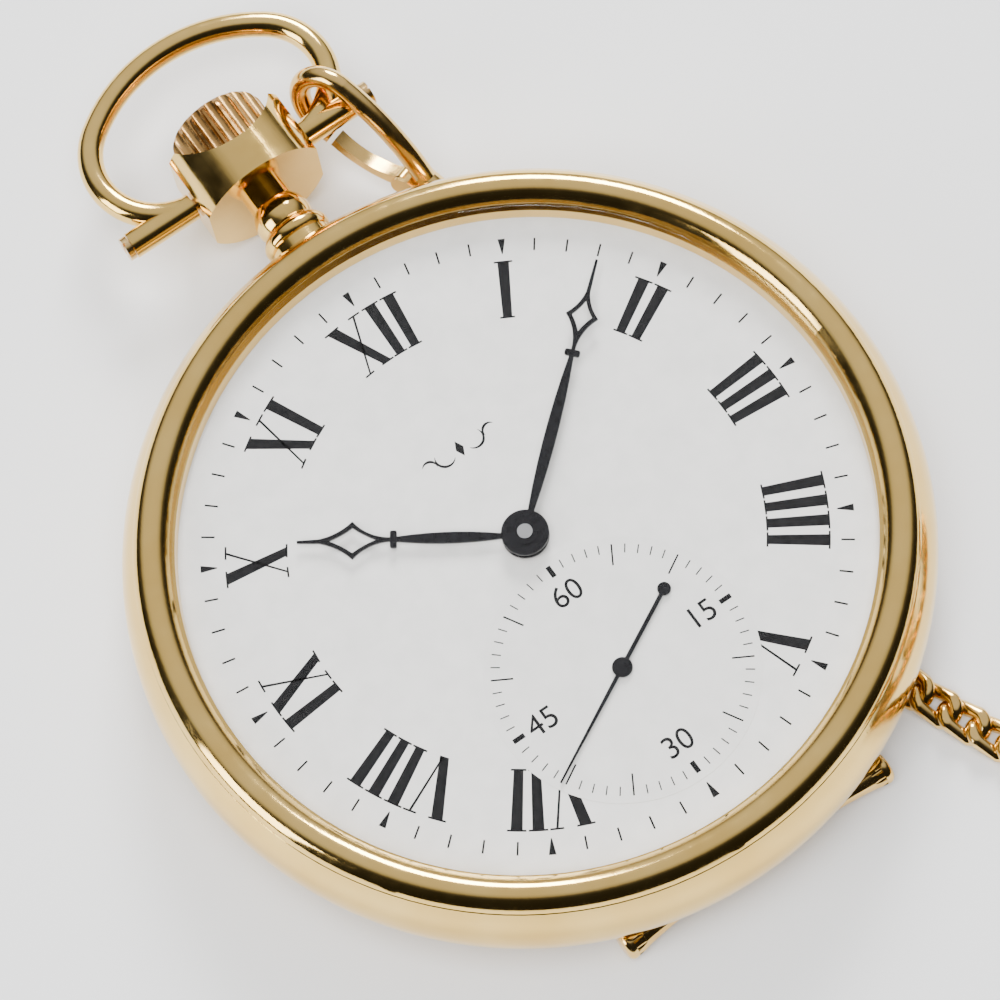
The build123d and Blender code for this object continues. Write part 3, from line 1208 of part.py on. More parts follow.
BAR_X = (-8.8, 9.96)
BAR_Y, BAR_Z = -21.9, 1.02
BAR_R, BAR_END_R = 0.55, 1.0
FLARE = 4.2
with BuildPart() as t_bar:
    with BuildSketch(Plane(origin=(0, BAR_Y, BAR_Z), x_dir=(1, 0, 0), z_dir=(0, -1, 0))):
        with BuildLine():
            Line((BAR_X[0], 0), (BAR_X[0], BAR_END_R - 0.35))
            ThreePointArc(
                (BAR_X[0], BAR_END_R - 0.35), (BAR_X[0] + 0.15, BAR_END_R - 0.08), (BAR_X[0] + 0.5, BAR_END_R)
            )
            ThreePointArc(
                (BAR_X[0] + 0.5, BAR_END_R), (BAR_X[0] + 2.3, BAR_R + 0.16), (BAR_X[0] + FLARE, BAR_R)
            )
            Line((BAR_X[0] + FLARE, BAR_R), (BAR_X[1] - FLARE, BAR_R))
            ThreePointArc(
                (BAR_X[1] - FLARE, BAR_R), (BAR_X[1] - 2.3, BAR_R + 0.16), (BAR_X[1] - 0.5, BAR_END_R)
            )
            ThreePointArc(
                (BAR_X[1] - 0.5, BAR_END_R), (BAR_X[1] - 0.15, BAR_END_R - 0.08), (BAR_X[1], BAR_END_R - 0.35)
            )
            Line((BAR_X[1], BAR_END_R - 0.35), (BAR_X[1], 0))
            Line((BAR_X[1], 0), (BAR_X[0], 0))
        make_face()
    revolve(axis=Axis((0, BAR_Y, BAR_Z), (1, 0, 0)))
    for low, high in ((BAR_X[0] + 0.6, BAR_X[0] + 3.0), (BAR_X[1] - 3.0, BAR_X[1] - 0.6)):
        with BuildSketch(Plane(origin=(low, BAR_Y, BAR_Z), x_dir=(0, 1, 0), z_dir=(1, 0, 0))):
            with PolarLocations(BAR_END_R + 0.05, 10):
                Circle(0.2)
        extrude(amount=high - low, mode=Mode.SUBTRACT)
    with Locations(TIE_EYE):
        Torus(TIE_EYE_R, TIE_EYE_WIRE_R)
save(t_bar, "t_bar")

# the chain follows the case round under its rim, turns out and runs off to a flat coil
COIL_LEAD_R = 14.9
COIL_LAST_R = 10.1
COIL_TURNS = 2.31
LEAD_IN = 9.0
rim_points = [clock(radius, angle) for radius, angle in (
    (22.45, 40), (22.5, 57), (22.45, 75), (22.5, 92), (22.45, 110), (21.9, 125),
)]
turn_points = [(14.56, -15.6), (13.9, -17.21), (13.9, -18.95), (14.86, -21.5), (16.75, -25.85)]
to_coil = Vector(COIL[0] - turn_points[-1][0], COIL[1] - turn_points[-1][1])
coil_heading = degrees(atan2(to_coil.Y, to_coil.X) - asin(COIL_LEAD_R / to_coil.length))
run_out = (to_coil.length ** 2 - COIL_LEAD_R ** 2) ** 0.5 - LEAD_IN
out_dir = (cos(radians(coil_heading)), sin(radians(coil_heading)))
run_end = (turn_points[-1][0] + run_out * out_dir[0], turn_points[-1][1] + run_out * out_dir[1])
route = [CHAIN_START, *rim_points, *turn_points, run_end]


def corner_radius(before, corner, after):
    """Arc at a corner of the route that takes up 0.45 of the shorter run."""
    run_in = Vector(corner[0] - before[0], corner[1] - before[1])
    run_on = Vector(after[0] - corner[0], after[1] - corner[1])
    half_turn = radians(run_in.get_angle(run_on)) / 2
    return 0.45 * min(run_in.length, run_on.length) / tan(half_turn)


chain_radii = [corner_radius(*route[index:index + 3]) for index in range(len(route) - 2)]
print("chain corner radii", [round(radius, 1) for radius in chain_radii])
with BuildPart() as chain_run:
    with BuildLine(Plane.XY.offset(CHAIN_Z)) as chain_line:
        FilletPolyline(*route, radius=chain_radii)
    chain_wire = chain_line.wires()[0]
    with BuildSketch(Plane(origin=chain_wire @ 0, x_dir=(0, 0, 1), z_dir=chain_wire % 0)):
        RectangleRounded(CHAIN_THICK, CHAIN_WIDTH, 0.4)
    sweep(path=chain_wire)
print("chain run length", round(chain_wire.length, 1), "volume", round(chain_run.part.volume, 1))
save(chain_run, "chain_run")

with BuildPart() as chain_coil:
    with BuildSketch(Plane.XY.offset(CHAIN_Z - CHAIN_THICK / 2)):
        with Locations(COIL):
            Circle(COIL_OUT_R)
            Circle(COIL_IN_R, mode=Mode.SUBTRACT)
    extrude(amount=CHAIN_THICK)
    with BuildSketch(Plane(origin=(*run_end, CHAIN_Z), x_dir=(0, 0, 1), z_dir=(*out_dir, 0))):
        RectangleRounded(CHAIN_THICK, CHAIN_WIDTH, 0.4)
    extrude(amount=LEAD_IN)
save(chain_coil, "chain_coil")
coil_length = pi * COIL_TURNS * (COIL_LEAD_R + COIL_LAST_R)
print("coil length", round(coil_length, 1), "whole chain", round(coil_length + chain_wire.length + LEAD_IN, 1))
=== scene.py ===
import bpy
import bmesh
from math import cos, degrees, pi, radians, sin
from mathutils import Matrix, Vector


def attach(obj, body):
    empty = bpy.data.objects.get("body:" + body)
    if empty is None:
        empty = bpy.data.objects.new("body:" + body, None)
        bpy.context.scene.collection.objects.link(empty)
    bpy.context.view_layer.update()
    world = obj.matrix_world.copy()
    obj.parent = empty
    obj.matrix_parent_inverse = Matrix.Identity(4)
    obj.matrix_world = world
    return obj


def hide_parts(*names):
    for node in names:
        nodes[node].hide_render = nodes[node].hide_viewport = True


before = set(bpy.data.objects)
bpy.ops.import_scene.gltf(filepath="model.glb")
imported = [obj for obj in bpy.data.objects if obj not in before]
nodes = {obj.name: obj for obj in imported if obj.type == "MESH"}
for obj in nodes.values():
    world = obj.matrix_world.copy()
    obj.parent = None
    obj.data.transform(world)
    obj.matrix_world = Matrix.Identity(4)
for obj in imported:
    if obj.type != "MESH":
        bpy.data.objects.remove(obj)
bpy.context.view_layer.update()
MM = 0.001


# ---- camera and light -----------------------------------------------------------------------
CAMERA_AT = (-0.03401, -0.07459, 0.23211)
CAMERA_RIGHT = (0.82322597, -0.56350655, -0.06898827)
CAMERA_UP = (0.54976332, 0.76097228, 0.34450178)
CAMERA_BACK = (-0.14163085, -0.32153003, 0.93624737)
LENS = 148.6
SENSOR = 36
NEAREST, FARTHEST = 0.01, 5

SKY_SIDE = (0.30, 0.52, 0.80)
SKY_STOPS = ((0.0, 0.025), (0.40, 0.035), (0.55, 0.12), (0.67, 0.60), (0.80, 0.88), (1.0, 0.94))
SKY_TINT = (1, 0.995, 0.98)
SKY_STRENGTH = 0.9


def add_camera():
    data = bpy.data.cameras.new("photo_camera")
    data.lens = LENS
    data.sensor_width = SENSOR
    data.clip_start = NEAREST
    data.clip_end = FARTHEST
    camera = bpy.data.objects.new("photo_camera", data)
    axes = Matrix((CAMERA_RIGHT, CAMERA_UP, CAMERA_BACK))
    camera.matrix_world = Matrix.Translation(CAMERA_AT) @ axes.transposed().to_4x4()
    bpy.context.collection.objects.link(camera)
    bpy.context.scene.camera = camera


def add_light(name, place, size, power):
    """Rectangular light that points at the middle of the frame."""
    data = bpy.data.lights.new(name, "AREA")
    data.shape = "RECTANGLE"
    data.size, data.size_y = size
    data.energy = power
    light = bpy.data.objects.new(name, data)
    light.location = place
    light.rotation_euler = (-Vector(place)).to_track_quat("-Z", "Y").to_euler()
    bpy.context.collection.objects.link(light)
    return light


def add_world():
    """Studio sky: bright overhead and on the window's side, dark low down on the other."""
    world = bpy.data.worlds.new("studio")
    world.use_nodes = True
    tree = world.node_tree
    place = tree.nodes.new("ShaderNodeTexCoord")
    side = tree.nodes.new("ShaderNodeVectorMath")
    side.operation = "DOT_PRODUCT"
    side.inputs[1].default_value = SKY_SIDE
    sky = tree.nodes.new("ShaderNodeValToRGB")
    for position, _ in SKY_STOPS[1:-1]:
        sky.color_ramp.elements.new(position)
    for element, (_, grey) in zip(sky.color_ramp.elements, SKY_STOPS):
        element.color = (*(grey * tint for tint in SKY_TINT), 1)
    tree.links.new(place.outputs["Generated"], side.inputs[0])
    tree.links.new(side.outputs["Value"], sky.inputs["Fac"])
    background = tree.nodes["Background"]
    tree.links.new(sky.outputs["Color"], background.inputs["Color"])
    background.inputs["Strength"].default_value = SKY_STRENGTH
    bpy.context.scene.world = world


add_camera()
add_light("window", place=(0.30, 0.40, 0.34), size=(0.22, 0.22), power=5.0)
add_light("left_card", place=(-0.45, 0.05, 0.22), size=(0.2, 0.3), power=1.6)
overhead = add_light("overhead", place=(-0.10, -0.10, 0.50), size=(0.4, 0.4), power=4.2)
overhead.visible_glossy = False
add_world()


# ---- materials --------------------------------------------------------------------------------
NOISE_LOW, NOISE_HIGH = 0.3, 0.7
GLASS_INDEX = 1.18


def material(name):
    made = bpy.data.materials.new(name)
    made.use_nodes = True
    tree = made.node_tree
    return made, tree, tree.nodes["Principled BSDF"]


def noise(tree, scale, detail=4, stretch=(1, 1, 1)):
    """Noise over the object's own coordinates."""
    place = tree.nodes.new("ShaderNodeTexCoord")
    mapping = tree.nodes.new("ShaderNodeMapping")
    mapping.inputs["Scale"].default_value = stretch
    texture = tree.nodes.new("ShaderNodeTexNoise")
    texture.inputs["Scale"].default_value = scale
    texture.inputs["Detail"].default_value = detail
    tree.links.new(place.outputs["Object"], mapping.inputs["Vector"])
    tree.links.new(mapping.outputs["Vector"], texture.inputs["Vector"])
    return texture.outputs["Fac"]


def ramp(tree, value, stops):
    """Colour ramp between two (place, colour) stops, driven by a value."""
    node = tree.nodes.new("ShaderNodeValToRGB")
    for element, (place, colour) in zip(node.color_ramp.elements, stops):
        element.position = place
        element.color = (*colour, 1)
    tree.links.new(value, node.inputs["Fac"])
    return node.outputs["Color"]


def spread(tree, value, low, high):
    """Map noise, which mostly lies between NOISE_LOW and NOISE_HIGH, to the range low to high."""
    node = tree.nodes.new("ShaderNodeMapRange")
    node.inputs["From Min"].default_value = NOISE_LOW
    node.inputs["From Max"].default_value = NOISE_HIGH
    node.inputs["To Min"].default_value = low
    node.inputs["To Max"].default_value = high
    tree.links.new(value, node.inputs["Value"])
    return node.outputs["Result"]


def bump(tree, height, strength, distance):
    node = tree.nodes.new("ShaderNodeBump")
    node.inputs["Strength"].default_value = strength
    node.inputs["Distance"].default_value = distance
    tree.links.new(height, node.inputs["Height"])
    return node.outputs["Normal"]


def metal(name, dark, light, rough, scratch=0.25, scale=900, stretch=(1, 1, 1)):
    """Polished metal with slow tone changes, uneven gloss and hairline scratches."""
    made, tree, shader = material(name)
    shader.inputs["Metallic"].default_value = 1
    tone = noise(tree, scale * 0.25, 3)
    tree.links.new(ramp(tree, tone, ((NOISE_LOW, dark), (NOISE_HIGH, light))), shader.inputs["Base Color"])
    wear = noise(tree, scale, 5, stretch)
    tree.links.new(spread(tree, wear, rough[0], rough[1]), shader.inputs["Roughness"])
    hair = noise(tree, scale * 2, 3, (stretch[0] * 6, stretch[1] * 0.4, stretch[2] * 3))
    tree.links.new(bump(tree, hair, scratch, 0.00002), shader.inputs["Normal"])
    return made


def striped_metal(name, dark, light, step):
    """Nickel plate with broad polished stripes."""
    made, tree, shader = material(name)
    shader.inputs["Metallic"].default_value = 1
    place = tree.nodes.new("ShaderNodeTexCoord")
    mapping = tree.nodes.new("ShaderNodeMapping")
    mapping.inputs["Rotation"].default_value = (0, 0, radians(35))
    wave = tree.nodes.new("ShaderNodeTexWave")
    wave.wave_profile = "SAW"
    wave.inputs["Scale"].default_value = step
    wave.inputs["Distortion"].default_value = 0
    tree.links.new(place.outputs["Object"], mapping.inputs["Vector"])
    tree.links.new(mapping.outputs["Vector"], wave.inputs["Vector"])
    tree.links.new(ramp(tree, wave.outputs["Fac"], ((0, dark), (1, light))), shader.inputs["Base Color"])
    grain = noise(tree, 2500, 4, (1, 8, 1))
    tree.links.new(spread(tree, grain, 0.2, 0.38), shader.inputs["Roughness"])
    tree.links.new(bump(tree, wave.outputs["Fac"], 0.2, 0.00003), shader.inputs["Normal"])
    return made


def coated(name, dark, light, rough, coat=0.0, scale=700, specular=0.5):
    """Enamel, ink or stone: near one colour, with faint mottling and a smooth skin."""
    made, tree, shader = material(name)
    shader.inputs["Coat Weight"].default_value = coat
    shader.inputs["Specular IOR Level"].default_value = specular
    shader.inputs["Coat Roughness"].default_value = 0.06
    tone = noise(tree, scale, 5)
    tree.links.new(ramp(tree, tone, ((NOISE_LOW, dark), (NOISE_HIGH, light))), shader.inputs["Base Color"])
    tree.links.new(spread(tree, tone, rough[0], rough[1]), shader.inputs["Roughness"])
    tree.links.new(bump(tree, noise(tree, scale * 3, 2), 0.08, 0.00001), shader.inputs["Normal"])
    return made


def clear_glass(name):
    """Thin clear glass: reflects by its Fresnel share, alike on both faces, and lets the rest through."""
    made, tree, shader = material(name)
    shader.inputs["Metallic"].default_value = 1
    shader.inputs["Base Color"].default_value = (1, 1, 1, 1)
    smear = noise(tree, 160, 3)
    tree.links.new(spread(tree, smear, 0.01, 0.05), shader.inputs["Roughness"])
    facing = tree.nodes.new("ShaderNodeNewGeometry")
    index = tree.nodes.new("ShaderNodeMapRange")
    index.inputs["To Min"].default_value = GLASS_INDEX
    index.inputs["To Max"].default_value = 1 / GLASS_INDEX
    tree.links.new(facing.outputs["Backfacing"], index.inputs["Value"])
    fresnel = tree.nodes.new("ShaderNodeFresnel")
    tree.links.new(index.outputs["Result"], fresnel.inputs["IOR"])
    tree.links.new(fresnel.outputs["Fac"], shader.inputs["Alpha"])
    return made


GOLD = metal("case_gold", (0.83, 0.54, 0.15), (0.93, 0.64, 0.21), (0.07, 0.15), 0.15)
CHAIN_GOLD = metal("chain_gold", (0.82, 0.52, 0.16), (0.94, 0.65, 0.24), (0.09, 0.2), 0.15, 1400)
# The crown's gold is the case's gold painted much darker and browner: painted shade standing in for the shade
# in its deep flutes.
CROWN_GOLD_PAINTED_SHADE = metal("crown_gold_painted_shade", (0.34, 0.17, 0.05), (0.70, 0.43, 0.16), (0.16, 0.32), 0.3, 1200)
SCREW_GOLD = metal("screw_gold", (0.72, 0.46, 0.18), (0.88, 0.62, 0.28), (0.14, 0.3), 0.3, 1600)
STEEL = metal("polished_steel", (0.52, 0.53, 0.55), (0.74, 0.75, 0.77), (0.12, 0.26), 0.2, 1600)
BLUED = metal("blued_steel", (0.04, 0.07, 0.25), (0.10, 0.16, 0.42), (0.14, 0.28), 0.15, 1600)
BRASS = metal("gilt_brass", (0.62, 0.44, 0.17), (0.80, 0.62, 0.30), (0.2, 0.36), 0.2, 1500)
NICKEL = striped_metal("striped_nickel", (0.52, 0.50, 0.46), (0.72, 0.70, 0.66), 420)
BRASS_PLATE = metal("frosted_brass", (0.60, 0.45, 0.20), (0.74, 0.58, 0.30), (0.38, 0.55), 0.5, 2600)
ENAMEL = coated("white_enamel", (0.76, 0.755, 0.735), (0.83, 0.82, 0.80), (0.12, 0.2), 0.5)
SUB_ENAMEL = coated("subdial_enamel", (0.74, 0.735, 0.715), (0.80, 0.79, 0.77), (0.16, 0.26), 0.4)
INK = coated("printed_ink", (0.005, 0.005, 0.006), (0.014, 0.014, 0.015), (0.35, 0.5), 0.0, 3000, 0.08)
HAND_BLACK = coated("hand_black", (0.004, 0.004, 0.005), (0.010, 0.010, 0.012), (0.14, 0.26), 0.05, 2500, 0.2)
RUBY = coated("ruby", (0.42, 0.01, 0.05), (0.62, 0.03, 0.10), (0.05, 0.12), 1.0, 2000)
GLASS = clear_glass("crystal_glass")

FINISHES = {
    GOLD: ("case_middle", "bezel", "case_back", "pendant", "bow"),
    CROWN_GOLD_PAINTED_SHADE: ("crown",),
    SCREW_GOLD: ("bow_screws", "case_screws"),
    CHAIN_GOLD: (
        "bow_clip_body", "bow_clip_gate", "bow_clip_eye", "fob_clip_body", "fob_clip_gate",
        "fob_clip_eye", "chain_rings", "t_bar",
    ),
    NICKEL: ("barrel_bridge", "train_bridge", "balance_cock", "pallet_bridge"),
    BRASS_PLATE: ("mainplate",),
    BRASS: (
        "centre_wheel", "third_wheel", "fourth_wheel", "mainspring_barrel", "barrel_cover",
        "minute_wheel", "hour_wheel", "balance_wheel",
    ),
    STEEL: (
        "pendant_sleeve", "bridge_screws", "centre_arbor", "escape_wheel",
        "pallet_fork", "barrel_arbor", "ratchet_wheel", "crown_wheel", "click", "winding_stem",
        "winding_pinion", "sliding_pinion", "setting_lever", "yoke", "setting_cover", "regulator",
    ),
    BLUED: ("hairspring", "mainspring", "click_spring", "yoke_spring"),
    ENAMEL: ("dial",),
    HAND_BLACK: ("hour_hand", "minute_hand", "seconds_hand", "cannon_pinion"),
    RUBY: ("train_jewels", "pallet_stones"),
    GLASS: ("crystal",),
}
for finish, names in FINISHES.items():
    for node_name in names:
        for slot in nodes[node_name].material_slots:
            slot.material = finish


# ---- floor --------------------------------------------------------------------------------------
FLOOR_REACH = 1.2
FLOOR_DROP = 0.00003
FLOOR_DARK, FLOOR_LIGHT = (0.86, 0.868, 0.878), (0.89, 0.896, 0.902)


def add_floor():
    mesh = bpy.data.meshes.new("floor")
    corners = [(x * FLOOR_REACH, y * FLOOR_REACH, 0) for x, y in ((-1, -1), (1, -1), (1, 1), (-1, 1))]
    mesh.from_pydata(corners, [], [(0, 1, 2, 3)])
    floor = bpy.data.objects.new("floor", mesh)
    floor.location.z = -FLOOR_DROP
    made, tree, shader = material("pale_floor")
    tree.links.new(
        ramp(tree, noise(tree, 40, 4), ((NOISE_LOW, FLOOR_DARK), (NOISE_HIGH, FLOOR_LIGHT))),
        shader.inputs["Base Color"],
    )
    shader.inputs["Roughness"].default_value = 0.55
    mesh.materials.append(made)
    bpy.context.collection.objects.link(floor)


add_floor()


# ---- printing on the dial -------------------------------------------------------------------------
DIAL_TOP = 6.6
SECONDS_AT = (0, -9.77)
PRINT_Z = (DIAL_TOP - 0.004, DIAL_TOP + 0.008)
SUB_Z = (DIAL_TOP - 0.004, DIAL_TOP + 0.02)
SUB_PRINT_Z = (DIAL_TOP + 0.016, DIAL_TOP + 0.026)
SUB_R = 8.05


def polar(centre, radius, clock):
    angle = radians(clock)
    return (centre[0] + radius * sin(angle), centre[1] + radius * cos(angle))


def prism(mesh, corners, low, high):
    """Closed slab of a polygon, in millimetres, between two heights."""
    bottom = [mesh.verts.new((x * MM, y * MM, low * MM)) for x, y in corners]
    top = [mesh.verts.new((x * MM, y * MM, high * MM)) for x, y in corners]
    count = len(corners)
    mesh.faces.new(bottom[::-1])
    mesh.faces.new(top)
    for index in range(count):
        after = (index + 1) % count
        mesh.faces.new((bottom[index], bottom[after], top[after], top[index]))


def finish_piece(name, mesh, finish, body, smooth=False):
    """Turn a bmesh into a piece that rides on a body."""
    bmesh.ops.recalc_face_normals(mesh, faces=mesh.faces[:])
    data = bpy.data.meshes.new(name)
    mesh.to_mesh(data)
    mesh.free()
    if smooth:
        data.shade_smooth()
    data.materials.append(finish)
    piece = bpy.data.objects.new(name, data)
    bpy.context.collection.objects.link(piece)
    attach(piece, body)
    return piece


def tick(mesh, centre, clock, radius_in, radius_out, width_in, width_out, heights):
    """Radial mark that may widen outwards."""
    corners = []
    edges = ((radius_in, -width_in), (radius_out, -width_out), (radius_out, width_out), (radius_in, width_in))
    for radius, width in edges:
        corners.append(polar(centre, radius, clock + degrees(width / 2 / radius)))
    prism(mesh, corners, *heights)


NUMERAL_IN, NUMERAL_OUT = 13.95, 17.65
NUMERAL_MID = (NUMERAL_IN + NUMERAL_OUT) / 2
THICK, THIN, SERIF = 0.62, 0.13, 0.11
ADVANCE = {"I": 1.12, "V": 2.35, "X": 2.45}
NUMERALS = {
    1: "I", 2: "II", 3: "III", 4: "IIII", 5: "V", 7: "VII", 8: "VIII", 9: "IX", 10: "X", 11: "XI", 12: "XII",
}
TRACK_R = 19.05
SECONDS_TRACK_R = 7.6


def stroke(mesh, clock, low, high, thickness):
    """Slanted or upright bar of a numeral from its foot to its head."""
    corners = []
    foot, head = (low, NUMERAL_IN), (high, NUMERAL_OUT)
    for (across, radius), side in ((foot, -1), (head, -1), (head, 1), (foot, 1)):
        shift = across + side * thickness / 2
        corners.append(polar((0, 0), radius, clock + degrees(shift / NUMERAL_MID)))
    prism(mesh, corners, *PRINT_Z)


def serif(mesh, clock, across, radius, half):
    """Fine line across the head or foot of a stroke."""
    corners = []
    for offset, edge in ((-half, 0), (half, 0), (half, SERIF), (-half, SERIF)):
        corners.append(polar((0, 0), radius + edge, clock + degrees((across + offset) / NUMERAL_MID)))
    prism(mesh, corners, PRINT_Z[0], PRINT_Z[1] + 0.001)


def numeral(mesh, clock, letters):
    """Roman numeral set radially with its feet towards the centre."""
    place = -sum(ADVANCE[letter] for letter in letters) / 2
    for letter in letters:
        middle = place + ADVANCE[letter] / 2
        place += ADVANCE[letter]
        if letter == "I":
            stroke(mesh, clock, middle, middle, THICK)
            ends = ((middle, NUMERAL_IN, 0.5), (middle, NUMERAL_OUT - SERIF, 0.5))
        elif letter == "V":
            stroke(mesh, clock, middle + 0.05, middle - 0.72, THICK)
            stroke(mesh, clock, middle + 0.12, middle + 0.78, THIN)
            ends = ((middle - 0.72, NUMERAL_OUT - SERIF, 0.48), (middle + 0.78, NUMERAL_OUT - SERIF, 0.36))
        else:
            stroke(mesh, clock, middle + 0.72, middle - 0.72, THICK)
            stroke(mesh, clock, middle - 0.76, middle + 0.76, THIN)
            ends = (
                (middle + 0.74, NUMERAL_IN, 0.46), (middle - 0.76, NUMERAL_IN, 0.36),
                (middle - 0.72, NUMERAL_OUT - SERIF, 0.46), (middle + 0.76, NUMERAL_OUT - SERIF, 0.36),
            )
        for across, radius, half in ends:
            serif(mesh, clock, across, radius, half)


track = bmesh.new()
for minute in range(60):
    if minute % 5 == 0:
        tick(track, (0, 0), minute * 6, 18.1, 19.08, 0.06, 0.44, PRINT_Z)
    else:
        tick(track, (0, 0), minute * 6, 18.25, TRACK_R, 0.11, 0.11, PRINT_Z)
for hour, letters in NUMERALS.items():
    numeral(track, hour * 30, letters)
finish_piece("dial_numerals", track, INK, "case")


FLOURISH_AT = (0, 6.9)
SCROLL_STEPS = 16
SCROLL_THICK = 0.16


def crescent(mesh, across, radius, first, last, thickness):
    """Thin scroll of the dial's flourish, widest half way along."""
    outer, inner = [], []
    for step in range(SCROLL_STEPS + 1):
        share = step / SCROLL_STEPS
        angle = radians(first + (last - first) * share)
        near = radius - thickness * (0.15 + 0.85 * sin(pi * share))
        for reach, side in ((radius, outer), (near, inner)):
            side.append((FLOURISH_AT[0] + across + reach * cos(angle), FLOURISH_AT[1] + reach * sin(angle)))
    prism(mesh, outer + inner[::-1], *PRINT_Z)


flourish = bmesh.new()
for across, radius, first, last in (
    (1.05, 0.62, -150, 40), (2.1, 0.46, 30, 205), (-1.05, 0.62, 330, 140), (-2.1, 0.46, 150, -25),
):
    crescent(flourish, across, radius, first, last, SCROLL_THICK)
lozenge = ((0, -0.55), (0.26, 0), (0, 0.55), (-0.26, 0))
prism(flourish, [(FLOURISH_AT[0] + x, FLOURISH_AT[1] + y) for x, y in lozenge], *PRINT_Z)
finish_piece("dial_flourish", flourish, INK, "case")


def circle_points(centre, radius, steps=96):
    return [polar(centre, radius, -step * 360 / steps) for step in range(steps)]


disc = bmesh.new()
prism(disc, circle_points(SECONDS_AT, SUB_R), *SUB_Z)
finish_piece("subdial_disc", disc, SUB_ENAMEL, "case")

seconds_track = bmesh.new()
for second in range(60):
    turn = second * 6
    if second % 15 == 0:
        tick(seconds_track, SECONDS_AT, turn, 6.85, SECONDS_TRACK_R, 0.3, 0.3, SUB_PRINT_Z)
    elif second % 5 == 0:
        tick(seconds_track, SECONDS_AT, turn, 6.3, SECONDS_TRACK_R, 0.1, 0.1, SUB_PRINT_Z)
    else:
        tick(seconds_track, SECONDS_AT, turn, 7.05, SECONDS_TRACK_R, 0.07, 0.07, SUB_PRINT_Z)
finish_piece("seconds_track", seconds_track, INK, "case")


def number(text, place, size):
    """Printed number, as a closed thin mesh."""
    curve = bpy.data.curves.new("number_" + text, "FONT")
    curve.body, curve.size = text, size * MM
    curve.align_x, curve.align_y = "CENTER", "CENTER"
    curve.extrude = 0.005 * MM
    maker = bpy.data.objects.new("number_maker", curve)
    bpy.context.collection.objects.link(maker)
    bpy.context.view_layer.update()
    data = bpy.data.meshes.new_from_object(maker.evaluated_get(bpy.context.evaluated_depsgraph_get()))
    bpy.data.objects.remove(maker)
    data.transform(Matrix.Translation((place[0] * MM, place[1] * MM, (DIAL_TOP + 0.022) * MM)))
    data.materials.clear()
    data.materials.append(INK)
    piece = bpy.data.objects.new("number_" + text, data)
    bpy.context.collection.objects.link(piece)
    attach(piece, "case")


NUMBER_R, NUMBER_SIZE = 5.55, 1.9

for text, turn in (("60", 0), ("15", 90), ("30", 180), ("45", 270)):
    number(text, polar(SECONDS_AT, NUMBER_R, turn), NUMBER_SIZE)


# ---- chain ----------------------------------------------------------------------------------------
CHAIN_Z = 0.72
ROUTE = (
    (10.35, 19.75), (14.43, 17.2), (18.87, 12.25), (21.68, 5.81), (22.49, -0.79), (21.10, -7.68),
    (17.94, -12.56), (14.56, -15.6), (13.9, -17.21), (13.9, -18.95), (14.86, -21.5), (16.75, -25.85),
    (19.9, -31.0),
)
COIL = (37.3, -30.9)
COIL_START_R, COIL_STEP, COIL_FIRST, COIL_TURNS = 14.9, 2.42, 211.5, 2.38
COIL_POINTS = 16
COIL_SPREAD = 1.02
END_RING = (45.9, -31.4)


def chain_line():
    """The chain's middle line as points read from its NURBS spline."""
    points = list(ROUTE)
    for index in range(int(COIL_TURNS * COIL_POINTS) + 1):
        turns = index / COIL_POINTS
        radius = COIL_START_R - COIL_STEP * turns
        angle = radians(COIL_FIRST + 360 * turns)
        x = COIL[0] + radius * cos(angle) * COIL_SPREAD
        y = COIL[1] + radius * sin(angle) * COIL_SPREAD
        points.append((x, y))
    points.append(END_RING)
    curve = bpy.data.curves.new("chain_line", "CURVE")
    curve.dimensions = "3D"
    curve.resolution_u = 24
    spline = curve.splines.new("NURBS")
    spline.points.add(len(points) - 1)
    for point, (x, y) in zip(spline.points, points):
        point.co = (x * MM, y * MM, CHAIN_Z * MM, 1)
    spline.order_u = 3
    spline.use_endpoint_u = True
    maker = bpy.data.objects.new("chain_line", curve)
    bpy.context.collection.objects.link(maker)
    bpy.context.view_layer.update()
    sampled = bpy.data.meshes.new_from_object(maker.evaluated_get(bpy.context.evaluated_depsgraph_get()))
    line = [vertex.co.copy() for vertex in sampled.vertices]
    bpy.data.objects.remove(maker)
    bpy.data.meshes.remove(sampled)
    return line


LINK_PITCH = 1.94
LINK_HALF, LINK_WIDE = 1.34, 0.80
LINK_WIRE = 0.42
LINK_TWIST = 42
LINK_STEPS, WIRE_STEPS = 28, 12
FIRST_LINK = 0.7
FACET = 0.66


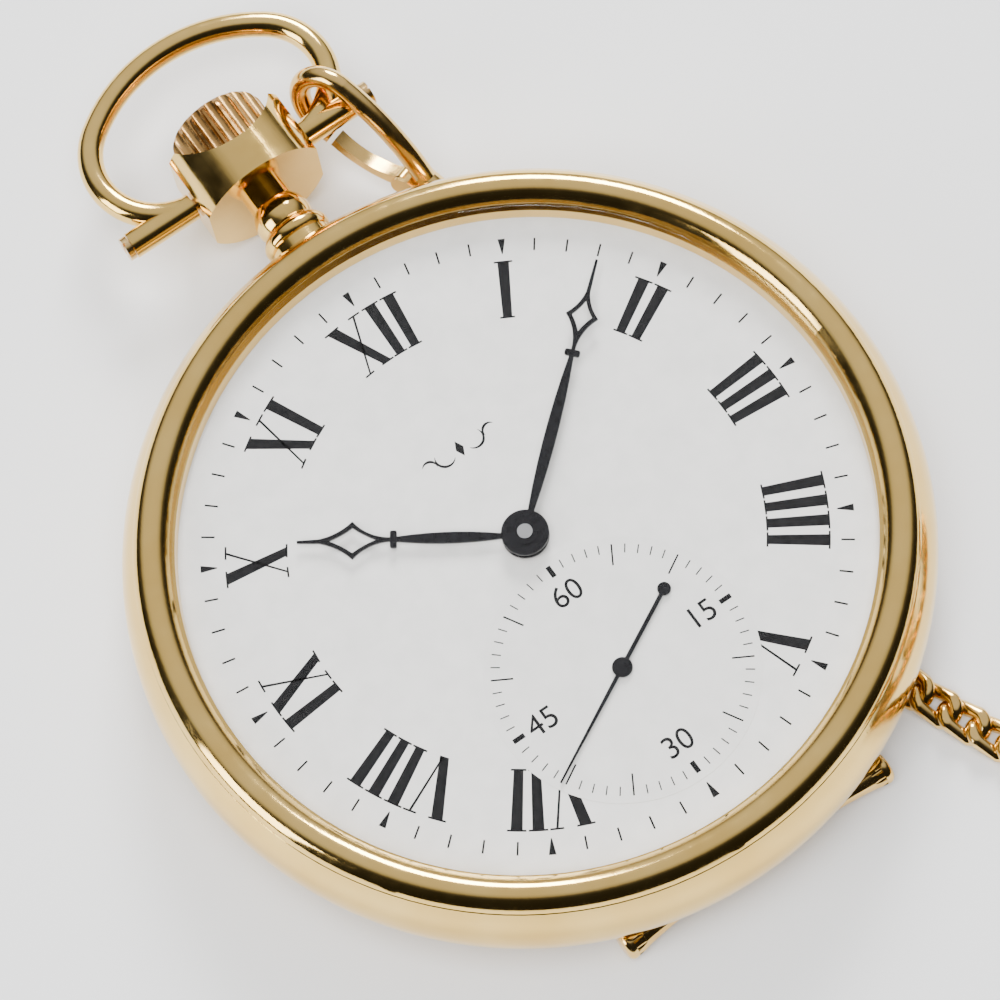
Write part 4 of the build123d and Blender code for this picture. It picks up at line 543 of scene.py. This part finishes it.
def link_outline():
    """Middle line of one oval link, with its outward direction at each point."""
    straight = LINK_HALF - LINK_WIDE
    outline = []
    for step in range(LINK_STEPS):
        angle = 2 * pi * step / LINK_STEPS
        shift = straight if cos(angle) > 0 else -straight
        outline.append((shift + LINK_WIDE * cos(angle), LINK_WIDE * sin(angle), cos(angle), sin(angle)))
    return outline


def link_shape():
    """Vertices of one curb link, twisted along its length and flattened above and below."""
    rings = []
    for x, y, out_x, out_y in link_outline():
        ring = []
        for step in range(WIRE_STEPS):
            angle = 2 * pi * step / WIRE_STEPS
            side, rise = LINK_WIRE * cos(angle), LINK_WIRE * 1.1 * sin(angle)
            px, py = x + side * out_x, y + side * out_y
            twist = radians(LINK_TWIST) * max(-1, min(1, x / LINK_HALF))
            py, pz = py * cos(twist) - rise * sin(twist), py * sin(twist) + rise * cos(twist)
            ring.append(Vector((px, py, max(-FACET, min(FACET, pz)))))
        rings.append(ring)
    return rings


def add_link(mesh, rings, centre, along):
    """Set one link on the chain's line."""
    sideways = Vector((-along.y, along.x, 0))
    placed = []
    for ring in rings:
        placed.append([
            mesh.verts.new(centre + (along * point.x + sideways * point.y + Vector((0, 0, point.z))) * MM)
            for point in ring
        ])
    for index, ring in enumerate(placed):
        other = placed[(index + 1) % len(placed)]
        for step in range(len(ring)):
            after = (step + 1) % len(ring)
            mesh.faces.new((ring[step], ring[after], other[after], other[step]))


line = chain_line()
lengths = [0.0]
for before, after in zip(line, line[1:]):
    lengths.append(lengths[-1] + (after - before).length)
chain_length = lengths[-1]


def point_at(distance):
    index = 1
    while index < len(lengths) - 1 and lengths[index] < distance:
        index += 1
    share = (distance - lengths[index - 1]) / (lengths[index] - lengths[index - 1])
    return line[index - 1].lerp(line[index], share)


chain = bmesh.new()
shape = link_shape()
link_count = int((chain_length / MM - FIRST_LINK) / LINK_PITCH) + 1
for number_of_link in range(link_count):
    middle = (FIRST_LINK + LINK_PITCH * number_of_link) * MM
    ahead, behind = point_at(middle + 0.6 * MM), point_at(max(0, middle - 0.6 * MM))
    add_link(chain, shape, point_at(middle), (ahead - behind).normalized())
curb_chain = finish_piece("curb_chain", chain, CHAIN_GOLD, "case", smooth=True)
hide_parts("chain_run", "chain_coil")
